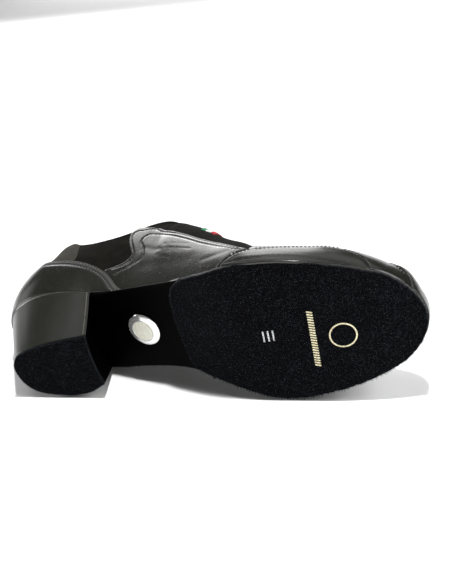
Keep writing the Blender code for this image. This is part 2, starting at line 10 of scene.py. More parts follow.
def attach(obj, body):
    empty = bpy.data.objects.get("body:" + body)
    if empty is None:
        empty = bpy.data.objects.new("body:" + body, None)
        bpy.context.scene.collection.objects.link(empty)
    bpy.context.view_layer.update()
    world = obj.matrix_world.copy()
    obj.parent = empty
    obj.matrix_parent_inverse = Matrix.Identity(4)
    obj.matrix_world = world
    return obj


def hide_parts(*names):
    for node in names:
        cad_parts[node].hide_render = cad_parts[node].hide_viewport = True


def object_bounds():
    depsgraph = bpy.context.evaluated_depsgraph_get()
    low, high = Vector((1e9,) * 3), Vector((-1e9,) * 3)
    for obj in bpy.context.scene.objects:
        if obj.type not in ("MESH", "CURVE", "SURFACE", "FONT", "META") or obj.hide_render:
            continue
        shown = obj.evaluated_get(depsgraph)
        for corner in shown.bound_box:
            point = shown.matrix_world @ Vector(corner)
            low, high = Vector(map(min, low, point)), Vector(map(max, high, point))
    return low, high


# Looks of a right dance sneaker lying on its inner side. The tables are in millimetres and describe
# the shoe standing: x from heel to toe, y towards the inner side, z up from the ground. Pieces are
# worked out standing and laid down where the frame lies.
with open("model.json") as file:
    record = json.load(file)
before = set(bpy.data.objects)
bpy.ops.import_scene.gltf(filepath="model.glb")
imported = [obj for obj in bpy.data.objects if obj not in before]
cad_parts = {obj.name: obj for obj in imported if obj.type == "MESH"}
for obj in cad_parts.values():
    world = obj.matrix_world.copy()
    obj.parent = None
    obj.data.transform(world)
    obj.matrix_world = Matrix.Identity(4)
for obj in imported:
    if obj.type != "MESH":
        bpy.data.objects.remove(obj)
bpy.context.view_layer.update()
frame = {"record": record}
RANDOM = np.random.default_rng(37)
MM = 0.001

# The two treads on the standing shoe, which say how the frame lies
HEEL_TREAD = (38.0, 1.2, 0.0)
FOREFOOT_TREAD = (170.0, -4.0, 0.0)

# Thicknesses and joints
WALL_THICK = 2.0
SOLE_THICK = 3.2
ARCH_THICK = 1.8
INSOLE_THICK = 2.5
PANEL_THICK = 1.0
VAMP_THICK = 0.8
TAB_THICK = 0.4
TOP_PIECE_THICK = 2.3
JOINT = 0.3
PANEL_GAP = 0.35
SKIN_LEFT = 0.25
EDGE_ROUND = 0.9
COUNTER_LIFT = 0.75

# Edges and heel
SOLE_OVERHANG = 0.8
TURN_IN_DROP = 2.9
TURN_IN_ROUND = 0.4
TURN_IN_LEDGE = 0.6
TURN_IN_ROWS = 15
DROP_END = 0.25
BEND_END = 0.65
RIM_SET_IN = 0.4
SKIVED = 0.25
CUT_BANDS = 2
BALL_MIDDLE = np.array([170.0, -4.0])
LINT_SHARE = 0.10
INSOLE_INSET = 2.8
BREAST_HOLLOW_TOP = 5.0
BREAST_HOLLOW_FOOT = 1.4
HEEL_FLARE = 1.0
HEEL_LIP = 0.55
LIP_SHARE = 0.012
LIP_SPREAD = 0.009
HEEL_FRONT = 15.22

# Button under the arch
BUTTON_X = 86.0
BUTTON_Y = -2.7
BUTTON_LIFT = 0.3


def table(kind, *rows):
    """Rows of one kind."""
    return tuple(kind(*row) for row in rows)


# Underside of the upper along the foot
Height = namedtuple("Height", "x z")
PROFILE = table(
    Height,
    (0, 46), (30, 41), (60, 33.5), (75, 29), (90, 24), (105, 18.5), (118, 13), (130, 8), (142, 4.6),
    (155, 3.5), (185, 3.5), (205, 5), (225, 7.8), (241, 11.3),
)

# Feather line, one row per section from the toe tip round both sides to the heel back
Feather = namedtuple("Feather", "outer_x outer_y inner_x inner_y")
FEATHER = table(
    Feather,
    (240.6, 2.5, 240.6, 2.5), (238.4, -8, 238.4, 11.5), (233, -17.5, 233, 19.5),
    (224.5, -26.5, 224.5, 26), (213, -32.8, 213, 30.6), (199, -38.7, 199, 34.6), (183, -44.2, 184, 37),
    (163, -47.2, 168, 38.2), (148, -46.8, 153, 35.6), (132, -41.8, 138, 29.6), (118, -37, 122, 23.8),
    (106, -32.6, 107, 21.4), (96, -29.6, 96, 21.5), (86, -27.4, 86, 22.4), (75, -25.2, 75, 23.6),
    (60, -23.5, 60, 25.2), (44, -23.6, 44, 24.4), (28, -22, 28, 22.4), (14, -17.5, 14, 18),
    (5, -11, 5, 11), (1, -1, 1, -1),
)

# Walls, same sections: the ridge or collar point they rise to, half the collar's width there,
# how far they first swell and rise, and how far they reach out and drop from the top
Wall = namedtuple("Wall", "top_x top_y top_z half_open swell rise reach drop")
WALLS = table(
    Wall,
    (222, 3, 37, 0, 2, 16, 12, 4.5), (220, 3, 37.7, 0, 2, 17, 13, 4),
    (215, 3, 39.4, 0, 2, 18.5, 17, 2.6), (208, 3, 41.6, 0, 2, 20, 21, 1.2),
    (199, 3, 44, 0, 2.5, 20.5, 25, 0), (187, 3, 46.5, 0, 2.5, 21.5, 27, 0),
    (173, 2.5, 50.5, 0, 2.5, 23, 27, 0), (157, 2, 58, 0, 3, 25, 26, 0),
    (143.5, 1, 69.5, 0, 3, 30, 28, 0), (131, 0, 83.5, 0, 4, 47, 32, 0),
    (120, -0.5, 95.5, 0, 5, 58, 33, 0), (110.5, -1, 104.5, 0, 6, 62, 33, 0),
    (102.5, -1, 111, 0, 6, 63, 32, 0), (100.5, -1, 108.5, 15, 6, 56, 18, 8),
    (92.5, -1, 102, 26, 6, 44, 6, 15), (72, -1, 93.2, 28, 6, 32, 1, 16),
    (51, -1, 93.5, 26, 7, 28, 2, 16), (36, -1, 99.5, 22, 8, 26, 4, 16), (26, -1, 105, 15, 8, 26, 6, 15),
    (20.5, -1, 108, 7.5, 8, 26, 8, 14), (19, -1, 109, 0, 8, 26, 8, 14),
)
THROAT = 12
HEEL_BACK = len(FEATHER) - 1
RING = 2 * HEEL_BACK

# How much less the outer wall swells low down and reaches out higher up than the inner one
Press = namedtuple("Press", "section swell reach")
OUTER_PRESS = table(
    Press,
    (0, 0, 0), (0.9, 0.8, 0.8), (1.4, 0, 0), (2, -1.2, -1.2), (2.6, 0.3, 0.3), (3, 1.6, 1.6),
    (3.8, 0.7, 0.7), (4.5, -0.4, -0.4), (5.2, -0.8, -0.8), (6, 2, 2), (6.8, 3, 3), (7.4, 2, 2),
    (7.8, 0, -1.5), (8.4, 0, -4), (9, 0, -3.6), (9.7, 0, -3.4), (10.5, 0, -4), (11.3, 0, -3.2),
    (12.3, 0, 0), (40, 0, 0),
)
LAST_MIDDLE = np.array([120.0, 0.0, 45.0])

# Collar edge: the share of the wall that it reaches at each section, and the padding at the heel back
Edge = namedtuple("Edge", "section share")
COLLAR_EDGE = table(
    Edge,
    (0, 1), (13, 1), (14.3, 1), (14.8, 0.985), (15.1, 0.93), (15.7, 0.868), (16.25, 0.845),
    (16.7, 0.862), (16.9, 0.9), (17.1, 0.94), (17.6, 1), (20, 1),
)
Pad = namedtuple("Pad", "section out")
COLLAR_PAD = table(
    Pad,
    (0, 0), (16.6, 0), (16.8, 0.5), (16.95, 1), (17.15, 1.2), (17.4, 1.6), (17.7, 2.3), (17.95, 2.5),
    (18.3, 1.9), (18.8, 1), (20, 0.5),
)
PAD_FOOT = 0.62
PAD_RISE = 0.30

# Front edge of the padded heel collar: its section at the rim, and how it leans back lower down
HEEL_COLLAR = 16.7
COLLAR_LEAN = 1.3
LEAN_TOP = 0.81
LEAN_FOOT = 0.5
LEAN_REACH = 0.9

# Panels on the wall, as section number and share of the way up the wall
PANEL_FOOT = 0.0
COUNTER_TOP = table(
    Edge,
    (13.73, 0.004), (14.08, 0.03), (14.46, 0.096), (14.94, 0.196), (15.35, 0.268), (15.76, 0.324),
    (16.19, 0.372), (16.54, 0.392), (16.9, 0.41), (17.3, 0.438), (17.82, 0.49), (18.6, 0.53),
    (20, 0.545),
)
QUARTER_REAR = table(
    Edge,
    (13.78, PANEL_FOOT), (14.18, 0.04), (14.64, 0.12), (15, 0.21), (14.46, 0.224), (14.25, 0.232),
    (14.11, 0.252), (14.09, 0.275), (14.11, 0.3), (14.31, 0.388), (14.55, 0.512), (14.74, 0.66),
    (14.86, 0.816), (14.87, 0.9), (14.75, 0.936),
)
QUARTER_TIP = 3
QUARTER_TOP = table(
    Edge,
    (14.75, 0.936), (14.5, 0.856), (14.15, 0.732), (13.43, 0.556), (12.43, 0.428), (11.33, 0.372),
    (10.62, 0.348), (9.38, 0.292), (8.79, 0.281), (8.35, 0.268), (8, 0.223), (7.66, 0.178),
    (7.4, 0.158),
)
QUARTER_FRONT = table(
    Edge,
    (8.41, PANEL_FOOT), (8.27, 0.022), (8.11, 0.05), (7.91, 0.08), (7.7, 0.11), (7.4, 0.158),
)
SIDE_VAMP_TOP = table(
    Edge,
    (8.3, 0.004), (8.2, 0.02), (8.04, 0.048), (7.83, 0.08), (7.62, 0.108), (7.38, 0.138), (7.05, 0.16),
    (6.48, 0.187), (5.73, 0.226), (5.01, 0.268), (4.6, 0.262), (4.24, 0.208), (3.93, 0.132),
    (3.74, 0.052), (3.64, 0.004),
)
TOE_CAP_EDGE = table(
    Edge,
    (1.62, PANEL_FOOT), (1.72, 0.045), (1.82, 0.1), (1.96, 0.146), (2.08, 0.174), (2.19, 0.208),
    (2.3, 0.244), (2.41, 0.284), (2.5, 0.34), (2.58, 0.45), (2.64, 0.6), (2.66, 0.75), (2.64, 0.9),
    (2.58, 1),
)
VAMP_EDGE = table(
    Edge,
    (8.1, 0), (7.75, 0.08), (7.5, 0.14), (7.38, 0.19), (7.32, 0.3), (7.25, 0.55), (7.2, 1),
)
TAB_SECTIONS = (8.83, 9.58)
TAB_SHARES = (0.470, 0.665)
CLOSE_ROWS = 0.3

# How far the forefoot sole stands out beyond the outer feather line
Rim = namedtuple("Rim", "section out")
SOLE_RIM = table(
    Rim,
    (0, SOLE_OVERHANG), (2, 0.8), (3.4, 0.4), (4.5, 0.1), (5.5, -0.2), (6.2, -0.4), (7.1, -0.4),
    (7.8, -0.2), (8.6, 0.1), (9.5, 0.6), (10, SOLE_OVERHANG),
)

# Where the forefoot sole ends under the arch, and the arch cover just behind it
Spot = namedtuple("Spot", "x y")
SOLE_BACK = table(
    Spot,
    (118.4, -37.8), (112, -32.8), (109.2, -27.1), (107.8, -19), (107.6, -9), (108.6, 3), (110.1, 14.5),
    (113.4, 20.3), (121.8, 24.5),
)
ARCH_FRONT = table(
    Spot,
    (114.6, -35.6), (111.6, -32.5), (108.8, -27.1), (107.4, -19), (107.2, -9), (108.2, 3),
    (109.7, 14.5), (112.4, 19.9), (114.4, 21.7),
)

# Heel foot, one row per section round the back
Foot = namedtuple("Foot", "section x y")
HEEL_FOOT = table(
    Foot,
    (HEEL_FRONT, 60.6, -16.5), (16, 46.5, -15.5), (17, 34, -14.2), (18, 23.5, -11.6), (19, 17.2, -8.2),
    (20, 14.7, -1), (21, 17.4, 8.4), (22, 24, 15), (23, 34.5, 18.5), (24, 46.5, 20.05),
    (24.45, 54.5, 19), (RING - HEEL_FRONT, 62.4, 15.2),
)

# Creases in the leather, each along a few places on the wall, with its half width and depth
Crease = namedtuple("Crease", "places width depth")
QUARTER_CREASES = table(
    Crease,
    (((12.1, 0.212), (10.75, 0.2), (9.7, 0.18)), 0.4, 0.17),
    (((12, 0.172), (11.5, 0.156), (10.9, 0.14)), 0.4, 0.13),
    (((11.6, 0.244), (10.6, 0.236), (9.8, 0.222)), 0.36, 0.12),
    (((11.2, 0.186), (10.6, 0.182), (10.2, 0.172)), 0.34, 0.1),
    (((13.3, 0.28), (12.6, 0.23), (12.1, 0.212)), 2.2, 0.18),
    (((9, 0.085), (8.5, 0.105), (8.1, 0.125)), 2.2, 0.12),
    (((9.6, 0.17), (8.8, 0.165), (8.1, 0.165)), 2.8, -0.05),
    (((12.8, 0.12), (11.2, 0.105), (9.8, 0.095)), 4.5, 0.12),
)

# Stitch rows: how far inside the edge they run, and the quarter's two rows as places
COUNTER_ROWS = (1.2, 3.6)
COUNTER_BAND = (2.2, 2.4, 0.12)
TOE_ROWS = (1.0, 3.2)
TOE_BAND = (2.0, 1.7, 0.20)
BAND_SINK = 0.7
QUARTER_OUTER_ROW = table(
    Edge,
    (14.64, 0.2), (14.16, 0.196), (13.91, 0.22), (13.98, 0.284), (14.23, 0.388), (14.51, 0.54),
    (14.7, 0.716), (14.66, 0.808), (14.24, 0.704), (12.81, 0.432), (11.4, 0.35), (10.58, 0.328),
    (9.29, 0.272), (8.72, 0.263), (8.45, 0.253), (8.22, 0.233), (7.99, 0.2), (7.68, 0.163),
)
QUARTER_INNER_ROW = table(
    Edge,
    (14.41, 0.136), (14.15, 0.152), (13.66, 0.164), (13.24, 0.184), (13.18, 0.22), (13.44, 0.292),
    (13.89, 0.4), (14, 0.488), (13.76, 0.496), (12.75, 0.38), (11.31, 0.32), (10.49, 0.292),
    (9.25, 0.238), (8.64, 0.225), (8.24, 0.203), (7.87, 0.158), (7.64, 0.136),
)
STITCH_PITCH = 3.0
STITCH_LENGTH = 2.1
STITCH_RADIUS = 0.30
CHANNEL_WIDTH = 0.70
CHANNEL_DEPTH = 0.32
SIDE_SEAM = (0.7, 0.55)
BEADS_BACK = 7.2
BEADS_FRONT = 4.7
TOE_SEAM = (1.2, 0.60)

# The photograph's view of the lying shoe
CAMERA_SPOT = (149.4, -661.9, 315.2)
CAMERA_TARGET = (12.9, -26.9, 54.2)
CAMERA_ROLL = math.radians(-4.15)
CAMERA_LENS = 80.14


# Curves and the last

def curve_through(knots, rows, closed=False, corners=(), level=False):
    """Smooth curve through the rows; corners may turn sharply, level keeps flat stretches flat."""
    knots = np.asarray(knots, float)
    rows = np.asarray(rows, float).reshape(len(knots), -1)
    spans = np.diff(knots)
    slopes = np.diff(rows, axis=0) / spans[:, None]
    arrive = np.zeros_like(rows)
    leave = np.zeros_like(rows)
    last = len(knots) - 1
    for i in range(len(knots)):
        before, after = i - 1, i
        if i in (0, last):
            before, after = (last - 1, 0) if closed else (0, 0) if i == 0 else (last - 1, last - 1)
        a, b = spans[before], spans[after]
        mean = (slopes[before] * b + slopes[after] * a) / (a + b)
        if level:
            mean = np.where(slopes[before] * slopes[after] <= 0, 0.0, mean)
        sharp = i in corners
        arrive[i] = slopes[before] if sharp else mean
        leave[i] = slopes[after] if sharp else mean

    def curve(value):
        value = np.clip(np.atleast_1d(np.asarray(value, float)), knots[0], knots[-1])
        j = np.clip(np.searchsorted(knots, value, side="right") - 1, 0, last - 1)
        span = spans[j][:, None]
        t = (value - knots[j])[:, None] / span
        start = (2 * t**3 - 3 * t**2 + 1) * rows[j] + (t**3 - 2 * t**2 + t) * span * leave[j]
        end = (3 * t**2 - 2 * t**3) * rows[j + 1] + (t**3 - t**2) * span * arrive[j + 1]
        return start + end

    return curve


def level_curve(rows):
    """Curve through rows by their first value, flat where they turn back."""
    return curve_through([row[0] for row in rows], [row[1:] for row in rows], level=True)


def ring_rows():
    """Rows of both tables once round the shoe: outer side to the heel, inner side back."""
    feather, walls = [], []
    for i in list(range(HEEL_BACK + 1)) + list(range(HEEL_BACK - 1, -1, -1)):
        outer = len(feather) <= HEEL_BACK
        spot, wall = FEATHER[i], WALLS[i]
        half = -wall.half_open if outer else wall.half_open
        feather.append((spot.outer_x, spot.outer_y) if outer else (spot.inner_x, spot.inner_y))
        walls.append((wall.top_x, wall.top_y + half, wall.top_z) + wall[4:])
    return np.array(feather), np.array(walls)


FEATHER_ROWS, WALL_ROWS = ring_rows()
RING_KNOTS = np.concatenate([[0.0], np.cumsum(np.hypot(*np.diff(FEATHER_ROWS, axis=0).T))])
FEATHER_CURVE = curve_through(RING_KNOTS, FEATHER_ROWS, closed=True)
WALL_CURVE = curve_through(np.arange(RING + 1), WALL_ROWS, closed=True, corners=(THROAT, RING - THROAT))
BOTTOM_CURVE = level_curve(PROFILE)
PRESS_CURVE = level_curve(OUTER_PRESS)
RIM_CURVE = level_curve(SOLE_RIM)


def bottom(x):
    """Height of the upper's underside at x."""
    x = np.asarray(x, float)
    return BOTTOM_CURVE(x.ravel())[:, 0].reshape(x.shape)


def along_ring(section):
    """Feather point, forward direction and outward direction at each section number."""
    way = np.interp(np.mod(section, RING), np.arange(RING + 1), RING_KNOTS)
    length = RING_KNOTS[-1]
    forward = unit(FEATHER_CURVE(np.mod(way + 0.5, length)) - FEATHER_CURVE(np.mod(way - 0.5, length)))
    outward = np.stack([-forward[:, 1], forward[:, 0]], axis=1)
    return FEATHER_CURVE(way), forward, outward


def feather_line(section, outset=0.0):
    """Feather line moved outwards by outset."""
    point, _, outward = along_ring(np.atleast_1d(np.asarray(section, float)))
    return point + outward * outset


def last_surface(section, share):
    """Outside of the upper at each section number and share of the way up its wall. A share below
    0 goes on below the foot: down where the sole's rim is set in, round an edge and along a ledge."""
    section, share = np.broadcast_arrays(np.asarray(section, float), np.asarray(share, float))
    shape = section.shape
    t = np.maximum(share.ravel(), 0.0)
    below = -np.minimum(share.ravel(), 0.0)
    place = np.mod(section.ravel(), RING)
    foot, forward, outward = along_ring(section.ravel())
    row = WALL_CURVE(place)
    floor = bottom(foot[:, 0])
    to_top = row[:, :2] - foot
    width = -(to_top * outward).sum(axis=1)
    lean = (to_top * forward).sum(axis=1)
    height = row[:, 2] - floor
    swell, rise, reach, drop = row[:, 3:].T
    less_swell, less_reach = PRESS_CURVE(place).T
    low, high, end = 3 * t * (1 - t) ** 2, 3 * t * t * (1 - t), t**3
    out = low * (swell - less_swell) + high * (reach - less_reach - width) - end * width
    up = low * rise + high * (height - drop) + end * height
    if below.max() > 0:
        set_in = np.clip(-RIM_CURVE(place)[:, 0] / RIM_SET_IN, 0, 1)
        bend = np.clip((below - DROP_END) / (BEND_END - DROP_END), 0, 1) * math.pi / 2
        ledge = np.clip((below - BEND_END) / (1 - BEND_END), 0, 1)
        out -= TURN_IN_ROUND * (1 - np.cos(bend)) + TURN_IN_LEDGE * ledge
        up -= TURN_IN_DROP * set_in * np.clip(below / DROP_END, 0, 1) + TURN_IN_ROUND * np.sin(bend)
    flat = foot + outward * out[:, None] + forward * (lean * t)[:, None]
    return np.column_stack([flat, floor + up]).reshape(shape + (3,))


def surface_frame(places):
    """Points on the last, the steps along it per section and per share, and outward normals."""
    section, share = np.asarray(places, float).T
    reach = 0.02
    above, below = np.minimum(share + reach, 1.0), np.maximum(share - reach, np.minimum(share, 0.0))
    along = (last_surface(section + reach, share) - last_surface(section - reach, share)) / (2 * reach)
    up = (last_surface(section, above) - last_surface(section, below)) / (above - below)[:, None]
    return last_surface(section, share), along, up, unit(np.cross(up, along))


def unit(vectors):
    """Vectors of length one."""
    return vectors / np.maximum(np.linalg.norm(vectors, axis=-1), 1e-9)[..., None]


def coons(near, far, left, right, u, v):
    """Grid spanned by four edges: near and far run left to right, left and right near to far."""
    u, v = u[None, :, None], v[:, None, None]
    across = (1 - v) * near[None] + v * far[None]
    along = (1 - u) * left[:, None] + u * right[:, None]
    corners = (1 - v) * ((1 - u) * near[0] + u * near[-1]) + v * ((1 - u) * far[0] + u * far[-1])
    return across + along - corners


def resample(edges, shares, corners=()):
    """Points at shares of the way along a short list of edge points."""
    numbers = np.arange(len(edges))
    return curve_through(numbers, edges, corners=corners)(np.asarray(shares) * numbers[-1])


def eased(count, pull=0.75):
    """Steps from 0 to 1, drawn together towards both ends."""
    t = np.linspace(0, 1, count)
    return (1 - pull) * t + pull * (0.5 - 0.5 * np.cos(math.pi * t))


def mirrored(places, inner):
    """The same places on the inner side."""
    places = np.array(places, float)
    if inner:
        places[..., 0] = RING - places[..., 0]
    return places


def inset(path, distance, side):
    """A line of places moved sideways over the surface by a distance in millimetres."""
    points, along, up, normal = surface_frame(path)
    inward = side * distance * unit(np.cross(normal, np.gradient(points, axis=0)))
    aa, ab, bb = (along * along).sum(1), (along * up).sum(1), (up * up).sum(1)
    a, b = (along * inward).sum(1), (up * inward).sum(1)
    scale = aa * bb - ab * ab
    moved = path + np.column_stack([(a * bb - b * ab) / scale, (aa * b - ab * a) / scale])
    for _ in range(4):
        moved[1:-1] = (moved[:-2] + 2 * moved[1:-1] + moved[2:]) / 4
    return moved


# Meshes

def laying_turn():
    """Turn and shift that lay the standing shoe as the frame lies, from the treads of both."""
    mounts = {mount["name"]: mount for mount in frame["record"]["mounts"]}

    def axes(heel, ball, up):
        along = ball - heel
        along = unit(along - up * (along @ up))
        return np.column_stack([along, np.cross(up, along), up])

    heel, ball = np.array(HEEL_TREAD) * MM, np.array(FOREFOOT_TREAD) * MM
    heel_laid, ball_laid = (np.array(mounts[n]["pos_m"]) for n in ("heel_tread", "forefoot_tread"))
    up_laid = -unit(np.array(mounts["heel_tread"]["axis"]))
    turn = axes(heel_laid, ball_laid, up_laid) @ axes(heel, ball, np.array([0.0, 0.0, 1.0])).T
    return turn, (heel_laid + ball_laid) / 2 - turn @ (heel + ball) / 2


TURN, SHIFT = laying_turn()


def quads(number):
    """Quads of a grid of point numbers."""
    corners = number[:-1, :-1], number[1:, :-1], number[1:, 1:], number[:-1, 1:]
    return np.stack(corners, axis=-1).reshape(-1, 4)


def sheet_normals(points, faces):
    """Normals of a sheet of quads at its points."""
    a, b, c, d = (points[faces[:, k]] for k in range(4))
    normals = np.zeros_like(points)
    for k in range(4):
        np.add.at(normals, faces[:, k], np.cross(c - a, d - b))
    return unit(normals)


def border_edges(faces):
    """Edges that only one face has, in that face's direction."""
    edges = np.concatenate([faces[:, [k, (k + 1) % 4]] for k in range(4)])
    count = faces.max() + 1
    codes = edges[:, 0] * count + edges[:, 1]
    return edges[~np.isin(codes, edges[:, 1] * count + edges[:, 0])]


def distance_to(points, starts, ends):
    """Distance from each point to the nearest of some straight pieces."""
    run = ends - starts
    length = np.maximum((run * run).sum(axis=1), 1e-9)
    found = []
    for part in np.array_split(points, max(1, len(points) // 2000)):
        away = part[:, None] - starts[None]
        t = np.clip((away * run[None]).sum(axis=2) / length, 0, 1)
        found.append(np.linalg.norm(away - t[..., None] * run[None], axis=2).min(axis=1))
    return np.concatenate(found)


def distance_to_line(points, line):
    """Distance from each point to a line through a row of points."""
    return distance_to(points, line[:-1], line[1:])


Sheet = namedtuple("Sheet", "points faces normals places")


def sheet_on_last(grid, number):
    """Sheet on the last from a grid of places and the point number at each of them."""
    used, faces = np.unique(quads(number), return_inverse=True)
    faces = faces.reshape(-1, 4)
    places = grid.reshape(-1, 2)[used]
    points = last_surface(*places.T)
    normals = sheet_normals(points, faces)
    if (normals * (points - LAST_MIDDLE)).sum() < 0:
        faces, normals = faces[:, ::-1], -normals
    return Sheet(points, faces, normals, places)


def patch(grid, folded=False):
    """Sheet over a grid of places; folded joins the two halves of its last row over the ridge."""
    number = np.arange(grid[..., 0].size).reshape(grid.shape[:2])
    if folded:
        number[-1] = np.minimum(number[-1], number[-1, ::-1])
    return sheet_on_last(grid, number)


def closed_skin(sheet, top, low):
    """Points and faces of the closed piece between two heights over a sheet."""
    count = len(sheet.points)
    points = np.concatenate([
        sheet.points + sheet.normals * np.broadcast_to(top, count)[:, None],
        sheet.points + sheet.normals * np.broadcast_to(low, count)[:, None],
    ])
    a, b = border_edges(sheet.faces).T
    walls = np.stack([b, a, a + count, b + count], axis=1)
    return points, np.concatenate([sheet.faces, sheet.faces[:, ::-1] + count, walls])


def rounded(distance, radius):
    """0 on an edge, rising along a quarter circle to 1 a radius inside it."""
    t = np.clip(distance / radius, 0, 1)
    return np.sqrt(1 - (1 - t) ** 2)


def add_piece(name, points, faces, finishes, node=None, kinds=None, uv=None, sharp=50):
    """Piece from standing millimetres, laid down and riding on the shoe."""
    mesh = bpy.data.meshes.new(name)
    clean = [list(dict.fromkeys(face)) for face in np.asarray(faces).tolist()]
    keep = [i for i, face in enumerate(clean) if len(face) > 2]
    mesh.from_pydata((points * MM @ TURN.T + SHIFT).tolist(), [], [clean[i] for i in keep])
    for finish in finishes:
        mesh.materials.append(finish)
    if kinds is not None:
        mesh.polygons.foreach_set("material_index", np.asarray(kinds)[keep].astype(np.int32))
    if uv is not None:
        corner = np.zeros(len(mesh.loops), np.int32)
        mesh.loops.foreach_get("vertex_index", corner)
        mesh.uv_layers.new(name="map").data.foreach_set("uv", uv[corner].astype(np.float32).ravel())
    mesh.shade_smooth()
    mesh.set_sharp_from_angle(angle=math.radians(sharp))
    piece = bpy.data.objects.new(name, mesh)
    bpy.context.scene.collection.objects.link(piece)
    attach(piece, "root")
    if node:
        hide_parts(node)


def block(levels, pole):
    """Points and faces between flat grids: the first and last are its faces, their borders its sides.
    The row numbered pole comes to one point. Also the place of each side face along the border."""
    rows, columns = levels[0].shape[:2]
    number = np.arange(rows * columns).reshape(rows, columns)
    number[pole] = number[pole, 0]
    border = np.concatenate([number[0], number[1:, -1], number[-1, -2::-1], number[-2::-1, 0]])
    count = rows * columns
    last = (len(levels) - 1) * count
    faces = [quads(number)[:, ::-1], quads(number) + last]
    turns = [np.full(len(faces[0]), -1), np.full(len(faces[1]), -2)]
    for level in range(len(levels) - 1):
        low, high = border + level * count, border + (level + 1) * count
        faces.append(np.stack([low[:-1], low[1:], high[1:], high[:-1]], axis=1))
        turns.append(np.arange(len(border) - 1))
    points = np.concatenate([level.reshape(-1, 3) for level in levels])
    return points, np.concatenate(faces), np.concatenate(turns)


def add_stitches(name, lines, finish, pitch=STITCH_PITCH, length=STITCH_LENGTH, radius=STITCH_RADIUS,
                 kept=1.0):
    """Stitches along lines of points with normals: short spindles whose ends dip into the leather.
    Only the share kept of them is still there."""
    stations = np.array([-1.0, -0.72, 0.0, 0.72, 1.0])
    girth = np.array([0.30, 0.85, 1.0, 0.85, 0.30])
    dip = np.array([-1.6, -0.35, 0.15, -0.35, -1.6])
    sides = np.arange(6) * math.pi / 3
    points, faces = [], []
    number = np.arange(30).reshape(5, 6)
    first, last = number[0], number[-1]
    caps = [first[[0, 1, 2, 3]], first[[0, 3, 4, 5]], last[[3, 2, 1, 0]], last[[5, 4, 3, 0]]]
    template = np.concatenate([quads(np.column_stack([number, number[:, 0]])), caps])
    for line, normals in lines:
        way = np.concatenate([[0], np.cumsum(np.linalg.norm(np.diff(line, axis=0), axis=1))])

        def at(values, where):
            return np.array([np.interp(where, way, axis) for axis in values.T])

        for middle in np.arange(pitch / 2, way[-1] - pitch / 4, pitch):
            if kept < 1 and RANDOM.random() > kept:
                continue
            half = length / 2 * RANDOM.uniform(0.9, 1.08)
            spot, up = at(line, middle), at(normals, middle)
            tangent = unit(at(line, middle + half) - at(line, middle - half))
            side = unit(np.cross(up, tangent))
            tangent = unit(tangent + side * RANDOM.normal(0, 0.03))
            ringed = np.cos(sides)[None, :, None] * side + 0.8 * np.sin(sides)[None, :, None] * up
            core = spot + stations[:, None] * half * tangent + dip[:, None] * radius * up
            faces.append(template + 30 * len(points))
            points.append((core[:, None] + radius * girth[:, None, None] * ringed).reshape(-1, 3))
    add_piece(name, np.concatenate(points), np.concatenate(faces), [finish])


def row_lines(path, rows, side, height):
    """Stitch lines at each row's distance inside an edge, on a surface that high over the last."""
    lines = []
    for row in rows:
        points, _, _, normals = surface_frame(inset(path, row, side))
        lines.append((points + normals * height, normals))
    return lines


def spikes(roots, normals, length, width, lean):
    """Fibres: thin three sided spikes, standing near their normals."""
    count = len(roots)
    random = RANDOM.normal(size=(count, 3))
    way = unit(normals + lean * random)
    side = unit(np.cross(way, RANDOM.normal(size=(count, 3))))
    other = np.cross(way, side)
    long = RANDOM.uniform(0.5, 1.0, count)[:, None] * length
    ring = [roots + width * (math.cos(a) * side + math.sin(a) * other) for a in (0.0, 2.1, 4.2)]
    points = np.stack(ring + [roots + way * long], axis=1).reshape(-1, 3)
    template = np.array([(0, 1, 3), (1, 2, 3), (2, 0, 3), (2, 1, 0)])
    return points, (template[None] + 4 * np.arange(count)[:, None, None]).reshape(-1, 3)


# Finishes

